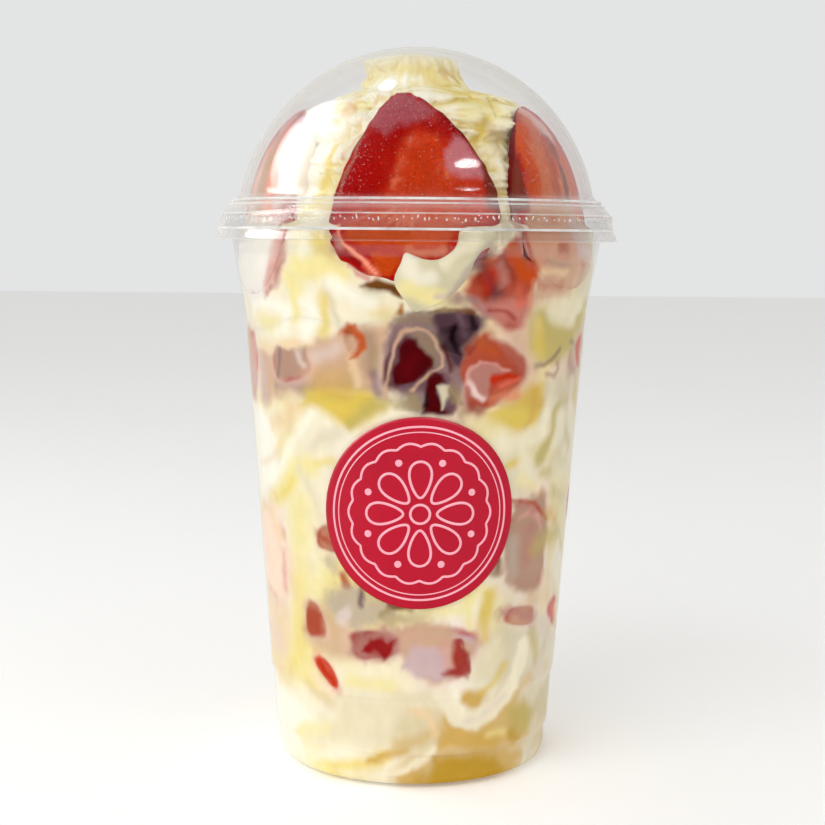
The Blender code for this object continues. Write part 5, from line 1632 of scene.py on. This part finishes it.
# The strand's paint: its cream and white strokes are painted light, lighter on its top and left, and its
# shade and grey strokes, the grey along its right edge, are painted shade.
STRAND_LIGHT_AND_SHADE = (
    ("cream", 0.5, 1.3, 2.4, (14, 136.6), (18, 136), (22, 136.4)),
    ("shade", 0.5, 0.9, 1.8, (12, 133.6), (16, 132.4), (13, 130)),
    ("white", 0.6, 2, 3, (-3, 130), (-1.6, 126.4), (4, 126)),
    ("cream", 0.6, 1.4, 2.4, (9, 128.6), (13, 132), (17, 135)),
    ("cream", 0.6, 0.9, 1.6, (8, 129.4), (13, 130.6), (18, 134)),
    ("lemon", 0.85, 1.9, 2.6, (-3.4, 124.4), (2, 122.2), (7, 121)),
    ("grey", 0.85, 0.9, 1.5, (22, 133), (18.6, 131), (16.8, 128), (14.4, 125), (10.6, 121.6)),
    ("lilac", 0.6, 0.7, 1.2, (5.5, 121.8), (9, 121.6)),
)


def build_strand(look):
    """The strand of cream across the front half's foot: a face between its edges at the wall, and a back."""
    along = np.linspace(0, len(STRAND_LEFT) - 1, STRAND_ROWS)
    left, right = (np.stack([smooth_through(np.array(edge)[:, k], along) for k in (0, 1)], -1)
                   for edge in (STRAND_LEFT, STRAND_RIGHT))
    turns = np.linspace(0, 2 * math.pi, STRAND_SIDES + 1)[:-1]
    share = ((1 - np.cos(turns)) / 2)[None, :, None]
    angle, height = np.moveaxis(left[:, None] + (right - left)[:, None] * share, -1, 0)
    lift = np.sin(turns)[None]
    folds = STRAND_FOLDS * np.abs(wall_noise(angle * STRAND_FOLDS_STEEP, height, 60, 2.6, 51))
    front = np.minimum(STRAND_EDGE * lift, 1.0) * (FIT_GAP + INTO_WALL + STRAND_PROUD - folds)
    radius = contents_reach(height) + np.where(lift < 0, STRAND_DEPTH * lift, front)
    rings = around(angle, radius, height)
    near, level = wobbled(np.ravel(angle), np.ravel(height))
    colours = np.broadcast_to(PAINTS["putty"], rings.shape).copy()
    colours = lay(colours, "cream", 0.2 + 0.3 * wall_noise(angle, height, 60, 4, 52)).reshape(-1, 3)
    colours = lay_entries(colours, near, level, STRAND_LIGHT_AND_SHADE)
    rows, columns = rings.shape[:2]
    tips = np.stack([rings[0].mean(0), rings[-1].mean(0)])
    points = np.concatenate([rings.reshape(-1, 3), tips])
    count = rows * columns
    triangles = np.concatenate([fan(count, 0, columns),
                                fan(count + 1, (rows - 1) * columns, columns, flip=True)])
    full = np.concatenate([colours, colours[:1], colours[-1:]])
    return make_piece("whipped_cream_strand", points, grid_quads(rows, columns)[:, ::-1], triangles, look,
                      ["whipped_cream_top"], colours=full)


# ---- strawberries


# How uneven the outlines of the halves and the pieces are, and how many rim points make one such wave.
HALF_RAGGED = 0.014
PIECE_RAGGED = 0.03
RAGGED_PITCH = 14.0
# The face's rings come closer together towards the rim, where it dips and rounds by high powers of the share.
FACE_SPREAD = 0.85
DIP_POWER = 6
ROUND_POWER = 20
# Dimples of the seeds on the back: depth, how many round it, and rows.
DIMPLE_DEPTH = 0.18
DIMPLES_ROUND = 22
DIMPLE_ROWS = 40
# A face's own paint reaches past its outline.
FACE_PAINT_EDGE = 1.1


def build_berry(berry, look, seed):
    """A piece of strawberry: rings over the face that follows the wall, then rings over the rounded back.

    Against the wall the face is pressed into the plastic, flush with the cream; a half stands clear of the
    dome above, where its rim is rounded.
    """
    sides = HALF_SIDES if berry.half else PIECE_SIDES
    face_rings = HALF_FACE_RINGS if berry.half else PIECE_FACE_RINGS
    back_rings = HALF_BACK_RINGS if berry.half else PIECE_BACK_RINGS
    turn = 2 * math.pi * np.arange(sides) / sides
    across_rim, along_rim = berry.outline(turn)
    uneven = HALF_RAGGED if berry.half else PIECE_RAGGED
    ragged = 1.0 + uneven * noise(turn * sides / RAGGED_PITCH, np.full(sides, 3.0), seed + 9)
    across_rim, along_rim = across_rim * ragged, along_rim * ragged

    share = np.linspace(0.0, 1.0, face_rings + 1)[:, None] ** FACE_SPREAD
    across, along = share * across_rim, share * along_rim
    plain = berry.patch.to_wall(across, along)
    at_wall = berry.patch.point(across, along, plain)
    rise = at_wall[..., 2]
    square = at_wall[..., :2] @ berry.patch.out[:2] / np.hypot(at_wall[..., 0], at_wall[..., 1])
    pressed = 1.0 - step((rise - PRESS_UP_TO_Z) / PRESS_FADE) if berry.half else np.ones_like(rise)
    dip = 0.0 if berry.half else RIM_DIP
    out = plain + pressed * (FIT_GAP + INTO_WALL + PRESS_MORE - dip * share ** DIP_POWER) / square
    out = out - (1.0 - pressed) * HALF_EDGE_ROUND * share ** ROUND_POWER
    rim, middle = out[-1], float(out[0, 0])
    deepest = min(middle, float(rim.max())) - berry.depth
    face_points = berry.patch.point(across[1:], along[1:], out[1:])
    sink_turn = np.radians(np.linspace(0.0, 90.0, back_rings + 2)[1:-1, None])
    back_share, sink = np.cos(sink_turn), np.sin(sink_turn)
    back_across, back_along = back_share * across_rim, back_share * along_rim
    back_out = rim * (1.0 - sink) + deepest * sink
    dimple = DIMPLE_DEPTH * np.maximum(np.cos(turn * DIMPLES_ROUND) * np.cos(sink_turn * DIMPLE_ROWS), 0.0)
    back_points = berry.patch.point(back_across, back_along, back_out + dimple)

    centre = berry.patch.point(np.zeros(1), np.zeros(1), np.array([middle]))
    behind = berry.patch.point(np.zeros(1), np.zeros(1), np.array([deepest]))
    points = np.concatenate([centre, face_points.reshape(-1, 3), back_points.reshape(-1, 3), behind])
    rows = face_rings + back_rings
    quads = grid_quads(rows, sides, 1)
    last = len(points) - 1
    triangles = np.concatenate([fan(0, 1, sides, flip=True), fan(last, 1 + (rows - 1) * sides, sides)])

    shown = points[:1 + face_rings * sides]
    angle = np.degrees(np.arctan2(shown[:, 0], -shown[:, 1]))
    face = wall_colours(angle, shown[:, 2], half_edge=FACE_PAINT_EDGE)
    freckle = noise(points[:, 0] * 0.5 + 50, points[:, 2] * 0.5, seed)
    freckle = freckle + noise(points[:, 1] + 60, points[:, 2], seed + 1)
    colours = np.broadcast_to(PAINTS["skin"], points.shape).copy()
    colours = lay(colours, "red", 0.4 + 0.3 * freckle)
    # White on the left half's back is painted glare.
    name, strength = BACK_PAINT_AND_GLARE.get(berry.name, ("skin", 0.0))
    colours = lay(colours, name, np.full(len(points), strength))
    colours[:len(face)] = face
    return make_piece("berry_" + berry.name, points, quads, triangles, look,
                      [CAD_BERRY + berry.name], colours=colours)


# ---- sticker

STICKER_SIDES = 180
STICKER_RINGS = 36
STICKER_BACK_RINGS = 6
STICKER_RIM_DROP = 0.08
STICKER_RIM_POWER = 40
# The back of the sticker lies this far into the gap before the cup.
STICKER_BACK = STICKER_GAP - 0.2
# Printed lines, in millimetres: how deep they lie in the sticker and how proud, and how much narrower on top.
PRINT_DEEP = 0.05
PRINT_PROUD = 0.04
PRINT_TOP = 0.9
# The rings' radius and width, the scallops' radius, depth and count, and the width of the other lines.
RING_LINES = ((21.2, 0.55), (19.9, 0.3))
SCALLOP_R = 16.4
SCALLOP_DEPTH = 0.9
SCALLOPS = 9
SCALLOP_WIDTH = 0.6
PETALS = 8
PETAL_MIDDLE = 8.4
PETAL_HALF_LENGTH = 4.4
PETAL_HALF_WIDTH = 2.5
PETAL_FLARE = 0.35
PETAL_LINE = 0.65
DOT_AT = 13.4
DOT_R = 0.45
DOT_LINE = 0.85
HEART_R = 2.3


def on_sticker(right, up, lift):
    """A place on the sticker, in millimetres right of and above its middle, as a point on the cone."""
    slope = math.atan2(FLARE_R - HIGH_STEP_R, FLARE_Z - HIGH_STEP_Z)
    height = STICKER_Z + up * math.cos(slope)
    radius = cup_outer(height)
    return around(STICKER_ANGLE + np.degrees(right / radius), radius + lift, height)


def build_sticker(look):
    """The sticker: a disc of rings that follows the cone, with a back and a rounded rim."""
    top = STICKER_GAP + STICKER_THICK
    fronts = [(share, top - STICKER_RIM_DROP * share ** STICKER_RIM_POWER)
              for share in np.linspace(0, 1, STICKER_RINGS + 1)[1:]]
    backs = [(share, STICKER_BACK) for share in np.linspace(1, 0, STICKER_BACK_RINGS + 1)[:-1]]
    turn = 2 * math.pi * np.arange(STICKER_SIDES) / STICKER_SIDES
    body = np.stack([on_sticker(share * STICKER_R * np.sin(turn), share * STICKER_R * np.cos(turn), lift)
                     for share, lift in fronts + backs])
    middle = np.zeros(1)
    points = np.concatenate([body.reshape(-1, 3), on_sticker(middle, middle, top),
                             on_sticker(middle, middle, STICKER_BACK)])
    rows = len(body)
    count = rows * STICKER_SIDES
    triangles = np.concatenate([fan(count, 0, STICKER_SIDES, flip=True),
                                fan(count + 1, (rows - 1) * STICKER_SIDES, STICKER_SIDES)])
    return make_piece("sticker_disc", points, grid_quads(rows, STICKER_SIDES), triangles, look,
                      ["round_sticker"])


def ribbon(path, width):
    """A flat line along a closed path on the sticker: four points across it at each step, made a low bar."""
    path = np.asarray(path, float)
    ahead = np.roll(path, -1, 0) - np.roll(path, 1, 0)
    ahead /= np.linalg.norm(ahead, axis=1, keepdims=True)
    side = np.stack((-ahead[:, 1], ahead[:, 0]), 1) * width / 2
    top = STICKER_GAP + STICKER_THICK
    corners = ((1, -PRINT_DEEP), (PRINT_TOP, PRINT_PROUD), (-PRINT_TOP, PRINT_PROUD), (-1, -PRINT_DEEP))
    rows = np.stack([on_sticker(*(path + side * reach).T, top + lift) for reach, lift in corners], 1)
    row = np.arange(len(path))
    after = (row + 1) % len(path)
    quads = [np.stack((row * 4 + k, row * 4 + (k + 1) % 4, after * 4 + (k + 1) % 4, after * 4 + k), -1)
             for k in range(4)]
    return rows.reshape(-1, 3), np.concatenate(quads)


def ring(radius, sides, right=0.0, up=0.0):
    """A circle of places on the sticker round a middle; radius may be one for each place."""
    turn = np.linspace(0, 2 * math.pi, sides + 1)[:-1]
    return np.stack((right + radius * np.sin(turn), up + radius * np.cos(turn)), 1)


def sticker_lines():
    """The printed design: two rings, a scalloped ring, and a rosette of outlined petals with dots between.

    A petal is an ellipse that flares outwards, its width growing with the cosine of the turn.
    """
    lines = [(ring(radius, 240), width) for radius, width in RING_LINES]
    turn = np.linspace(0, 2 * math.pi, 241)[:-1]
    lines.append((ring(SCALLOP_R + SCALLOP_DEPTH * np.abs(np.sin(SCALLOPS * turn)), 240), SCALLOP_WIDTH))
    t = np.linspace(0, 2 * math.pi, 61)[:-1]
    x = PETAL_HALF_WIDTH * np.sin(t) * (1.0 + PETAL_FLARE * np.cos(t))
    y = PETAL_MIDDLE + PETAL_HALF_LENGTH * np.cos(t)
    for petal in range(PETALS):
        lean = 2 * math.pi * petal / PETALS
        turned_petal = (x * math.cos(lean) + y * math.sin(lean), y * math.cos(lean) - x * math.sin(lean))
        lines.append((np.stack(turned_petal, 1), PETAL_LINE))
        middle = lean + math.pi / PETALS
        lines.append((ring(DOT_R, 24, DOT_AT * math.sin(middle), DOT_AT * math.cos(middle)), DOT_LINE))
    lines.append((ring(HEART_R, 60), PETAL_LINE))
    return lines


def build_sticker_print(look):
    """All the printed lines as one mesh."""
    points, quads, count = [], [], 0
    for path, width in sticker_lines():
        bar, faces = ribbon(path, width)
        points.append(bar)
        quads.append(faces + count)
        count += len(bar)
    return make_piece("sticker_print", np.concatenate(points), np.concatenate(quads), np.zeros((0, 3), int),
                      look, ["round_sticker"])


# ---- small things


BALL_ROWS = 3
BALL_COLUMNS = 5


def scattered(name, unit, faces, places, sizes, haze, look, nodes):
    """Many copies of one small shape as one mesh: each copy is the shape times its size in its own frame."""
    count, corners = len(places), len(unit)
    points = places[:, None] + np.einsum("nij,kj->nki", sizes, unit)
    index = faces[None] + (np.arange(count) * corners)[:, None, None]
    return make_piece(name, points.reshape(-1, 3), np.zeros((0, 4), int), index.reshape(-1, 3), look,
                      nodes, values={"haze": np.full(count * corners, haze)})


def ball():
    """A small ball: rings of points between two tips."""
    tilt = np.pi * np.arange(1, BALL_ROWS) / BALL_ROWS
    turn = 2 * np.pi * np.arange(BALL_COLUMNS) / BALL_COLUMNS
    around_z = [np.sin(tilt)[:, None] * np.cos(turn), np.sin(tilt)[:, None] * np.sin(turn),
                np.cos(tilt)[:, None] + 0 * turn]
    points = np.concatenate([np.stack(around_z, -1).reshape(-1, 3), [[0, 0, 1.0], [0, 0, -1.0]]])
    rows = BALL_ROWS - 1
    count = rows * BALL_COLUMNS
    quads = grid_quads(rows, BALL_COLUMNS)[:, ::-1]
    split = np.concatenate([quads[:, [0, 1, 2]], quads[:, [0, 2, 3]]])
    tips = np.concatenate([fan(count, 0, BALL_COLUMNS),
                           fan(count + 1, (rows - 1) * BALL_COLUMNS, BALL_COLUMNS, flip=True)])
    return points, np.concatenate([split, tips])


BEAD_TRIES = 16000
BEAD_SIZES = (0.05, 0.13)
# The beads' band of heights as a tilt in degrees, how flat they are, their haze, the chance of one
# anywhere and on a half, and how far out round a half they gather.
BEAD_TILT_FROM = 8
BEAD_TILT_RANGE = 64
BEAD_FLAT = 0.5
BEAD_HAZE = 0.35
BEAD_ANYWHERE = 0.03
BEAD_ON_HALF = 0.2
BEAD_EDGE = 1.14


def build_beads(look):
    """Beads of moisture on the inside of the dome, most of them round the halves' rims, by a seeded draw."""
    draw = np.random.default_rng(7)
    turn = draw.uniform(0, 2 * np.pi, BEAD_TRIES)
    tilt = np.radians(BEAD_TILT_FROM + BEAD_TILT_RANGE * draw.uniform(0, 1, BEAD_TRIES))
    out = np.stack([np.cos(tilt) * np.sin(turn), -np.cos(tilt) * np.cos(turn), np.sin(tilt)], -1)
    places = np.array([0, 0, DOME_CENTRE_Z]) + out * (DOME_R - LID_WALL - 0.03)
    chance = np.full(BEAD_TRIES, BEAD_ANYWHERE)
    for berry in BERRIES[:len(HALVES)]:
        share = berry.find(places)[2]
        on_half = BEAD_ON_HALF + (1.0 - BEAD_ON_HALF) * step((share - 0.5) / 0.4)
        chance = np.maximum(chance, step((BEAD_EDGE - share) / 0.1) * on_half)
    kept = draw.uniform(0, 1, BEAD_TRIES) < chance
    out, places = out[kept], places[kept]
    size = BEAD_SIZES[0] + (BEAD_SIZES[1] - BEAD_SIZES[0]) * draw.uniform(0, 1, len(out)) ** 2
    side = np.stack([out[:, 1], -out[:, 0], 0 * size], -1)
    side /= np.linalg.norm(side, axis=1, keepdims=True)
    up = np.cross(out, side)
    frames = np.stack([side * size[:, None], up * size[:, None], out * (size * BEAD_FLAT)[:, None]], -1)
    unit, faces = ball()
    return scattered("moisture_beads", unit, faces, places, frames, BEAD_HAZE, look,
                     ["dome_lid"])


# The dashes' unevenness along the band, in lean and in height, their half-widths and half-lengths, and haze,
# which makes them pale as a painted highlight of the light they catch.
DASH_SHIFT = 0.4
DASH_LEAN = 0.6
DASH_RISE = 0.45
DASH_WIDTHS = (0.14, 0.3)
DASH_LENGTHS = (0.2, 0.75)
DASH_PROUD = 0.12
DASH_HAZE = 0.7


def build_band_marks(look):
    """Small raised dashes in a row round the lid's band, uneven in length and lean by a seeded draw."""
    draw = np.random.default_rng(23)
    turn = 2 * np.pi * (np.arange(DASHES) + draw.uniform(-DASH_SHIFT, DASH_SHIFT, DASHES)) / DASHES
    lean = draw.uniform(-DASH_LEAN, DASH_LEAN, DASHES)[:, None]
    height = DASHES_Z + draw.uniform(-DASH_RISE, DASH_RISE, DASHES)
    radius = np.interp(DASHES_Z, (FOLD_Z, BAND_TOP_Z), (FOLD_R, BAND_TOP_R))
    out = np.stack([np.sin(turn), -np.cos(turn), 0 * turn], -1)
    side = np.stack([np.cos(turn), np.sin(turn), 0 * turn], -1)
    up = np.array([0.0, 0.0, 1.0])
    wide = draw.uniform(*DASH_WIDTHS, DASHES)[:, None]
    long = draw.uniform(*DASH_LENGTHS, DASHES)[:, None]
    frames = np.stack([(side * np.cos(lean) + up * np.sin(lean)) * wide,
                       (up * np.cos(lean) - side * np.sin(lean)) * long, out * DASH_PROUD], -1)
    unit, faces = ball()
    places = out * radius + up * height[:, None]
    return scattered("lid_band_marks", unit, faces, places, frames, DASH_HAZE, look,
                     ["dome_lid"])


RIDGE_SIDES = 6


def build_lid_ridges(look):
    """Thin ridges round the lid, made pale by haze as painted highlights: round sections turned about the
    axis.
    """
    angles = np.arange(SHELL_COLUMNS) * 360.0 / SHELL_COLUMNS
    turns = 2 * np.pi * np.arange(RIDGE_SIDES)[:, None] / RIDGE_SIDES
    points, quads, haze = [], [], []
    for index, (radius, height, thick, strength) in enumerate(LID_RIDGES):
        rows = around(angles[None], radius + thick * np.cos(turns), height + thick * np.sin(turns))
        quads.append(grid_quads(RIDGE_SIDES, SHELL_COLUMNS, index * RIDGE_SIDES * SHELL_COLUMNS, closed=True))
        points.append(rows.reshape(-1, 3))
        haze.append(np.tile(strength * (0.6 + 0.5 * wall_noise(angles, height, 40, 5, 61)), RIDGE_SIDES))
    return make_piece("lid_ridges", np.concatenate(points), np.concatenate(quads), np.zeros((0, 3), int),
                      look, ["dome_lid"], values={"haze": np.concatenate(haze)})


# ---- stage, light and camera

CAMERA_PLACE = (-0.576, -408.914, 136.951)
CAMERA_AIM_Z = 89.649
CAMERA_ROLL = 0.507
FOCAL_PIXELS = 1569.617
PICTURE_SIDE = 825
SENSOR = 36.0


def build_camera():
    """The camera stands where the photograph's stood, looks slightly down and is rolled a little."""
    data = bpy.data.cameras.new("camera")
    data.sensor_width = SENSOR
    data.lens = FOCAL_PIXELS / PICTURE_SIDE * SENSOR
    data.clip_start, data.clip_end = 0.01, 20.0
    camera = bpy.data.objects.new("camera", data)
    bpy.context.scene.collection.objects.link(camera)
    down = math.atan2(CAMERA_PLACE[2] - CAMERA_AIM_Z, -CAMERA_PLACE[1])
    turn = Matrix.Rotation(math.pi / 2 - down, 4, "X") @ Matrix.Rotation(math.radians(CAMERA_ROLL), 4, "Z")
    camera.matrix_world = Matrix.Translation(Vector(CAMERA_PLACE) * MM) @ turn
    bpy.context.scene.camera = camera


LIGHT_CENTRE = (0.0, 0.0, 0.13)
# Each light: direction towards it, distance, size, radiance, and whether it lights surfaces or only glints.
LIGHTS = {
    "key": dict(way=(-0.50, -0.70, 0.62), distance=1.1, size=(0.9, 0.9), radiance=2.08, glints=False),
    "fill": dict(way=(0.80, -0.50, 0.30), distance=1.1, size=(0.9, 0.9), radiance=0.7, glints=False),
    "left_box": dict(way=(-0.80, 0.02, 0.60), distance=0.8, size=(0.50, 0.42), radiance=30.0, glints=True),
    "left_glow": dict(way=(-0.80, 0.02, 0.60), distance=0.8, size=(0.68, 0.58), radiance=18.0, glints=True),
    "left_edge": dict(way=(-0.80, 0.02, 0.60), distance=0.8, size=(0.84, 0.74), radiance=9.0, glints=True),
    "front_spot": dict(
        way=(0.469, -0.626, 0.623), distance=0.8, size=(0.20, 0.08), radiance=380.0, glints=True),
    "top_spot": dict(
        way=(-0.202, 0.188, 0.961), distance=0.8, size=(0.09, 0.07), radiance=310.0, glints=True),
}


def build_lights():
    """Studio light: a large key and a fill for the surfaces, and boxes that only glint in the plastic."""
    for name, light in LIGHTS.items():
        data = bpy.data.lights.new(name, "AREA")
        data.shape = "ELLIPSE" if light["glints"] else "RECTANGLE"
        data.size, data.size_y = light["size"]
        area = data.size * data.size_y * (math.pi / 4 if light["glints"] else 1.0)
        data.energy = light["radiance"] * math.pi * area
        lamp = bpy.data.objects.new(name, data)
        bpy.context.scene.collection.objects.link(lamp)
        way = Vector(light["way"]).normalized()
        lamp.location = Vector(LIGHT_CENTRE) + way * light["distance"]
        lamp.rotation_euler = way.to_track_quat("Z", "Y").to_euler()
        lamp.visible_diffuse = not light["glints"]
        lamp.visible_glossy = light["glints"]
        lamp.visible_camera = False


FLOOR_HALF_SIDE = 3.0
FLOOR_GLOW = 0.2
WORLD_COLOUR = (0.92, 0.925, 0.93, 1.0)
WORLD_LIGHT = 0.6
# How much brighter the world is where the camera sees it.
WORLD_SEEN_MORE = 0.24


def build_stage():
    """A plain pale floor and a plain pale world, which is brighter where the camera sees it."""
    scene = bpy.context.scene
    scene.view_settings.view_transform = "Standard"
    side = FLOOR_HALF_SIDE
    mesh = bpy.data.meshes.new("floor")
    corners = [(-side, -side, 0), (side, -side, 0), (side, side, 0), (-side, side, 0)]
    mesh.from_pydata(corners, [], [(0, 1, 2, 3)])
    floor = bpy.data.objects.new("floor", mesh)
    mesh.materials.append(plain_look("pale_floor", "floor", 0.7, scale=6.0, variation=0.01, glow=FLOOR_GLOW))
    scene.collection.objects.link(floor)
    world = bpy.data.worlds.new("studio")
    world.use_nodes = True
    nodes, links = world.node_tree.nodes, world.node_tree.links
    seen = nodes.new("ShaderNodeLightPath").outputs["Is Camera Ray"]
    strength = nodes.new("ShaderNodeMath")
    strength.operation = "MULTIPLY_ADD"
    strength.inputs[1].default_value = WORLD_SEEN_MORE
    strength.inputs[2].default_value = WORLD_LIGHT
    links.new(seen, strength.inputs[0])
    links.new(strength.outputs[0], nodes["Background"].inputs["Strength"])
    nodes["Background"].inputs["Color"].default_value = WORLD_COLOUR
    scene.world = world


# ---- all of it


def main():
    """Camera, stage and lights, the materials, then every piece in its own place."""
    build_camera()
    build_stage()
    build_lights()
    cream = food_look("cream_surface", roughness=0.42, soft=0.25, bump=0.25, speckle=0.05)
    whipped = food_look("whipped_surface", roughness=0.5, soft=0.35, bump=0.3, speckle=0.04, scale=1400.0)
    flesh = food_look("strawberry_flesh", roughness=0.4, soft=0.12, bump=0.25, speckle=0.26, scale=1500.0,
                      shine=0.01)
    cuts = food_look("strawberry_cuts", roughness=0.4, soft=0.15, bump=0.15, speckle=0.07, scale=1200.0,
                     shine=0.01)
    cup_look = plastic_look("cup_plastic", edge_gloss=0.4, edge_milk=0.1)
    lid_look = plastic_look("lid_plastic", edge_gloss=0.45, edge_milk=0.8)

    build_cup(cup_look)
    build_lid(lid_look)
    build_marbled_cream(cream)
    build_milky_layer(cream)
    build_whipped_top(whipped)
    build_strand(whipped)
    for index, berry in enumerate(BERRIES):
        build_berry(berry, flesh if berry.half else cuts, BACK_SEEDS + SEED_STEP * index)
    build_sticker(plain_look("sticker_red", "label_red", 0.5, scale=90.0, variation=0.06, bump=0.05))
    build_sticker_print(plain_look("sticker_pink", "label_pink", 0.45, scale=300.0, variation=0.04))
    build_beads(lid_look)
    build_band_marks(lid_look)
    build_lid_ridges(lid_look)


main()
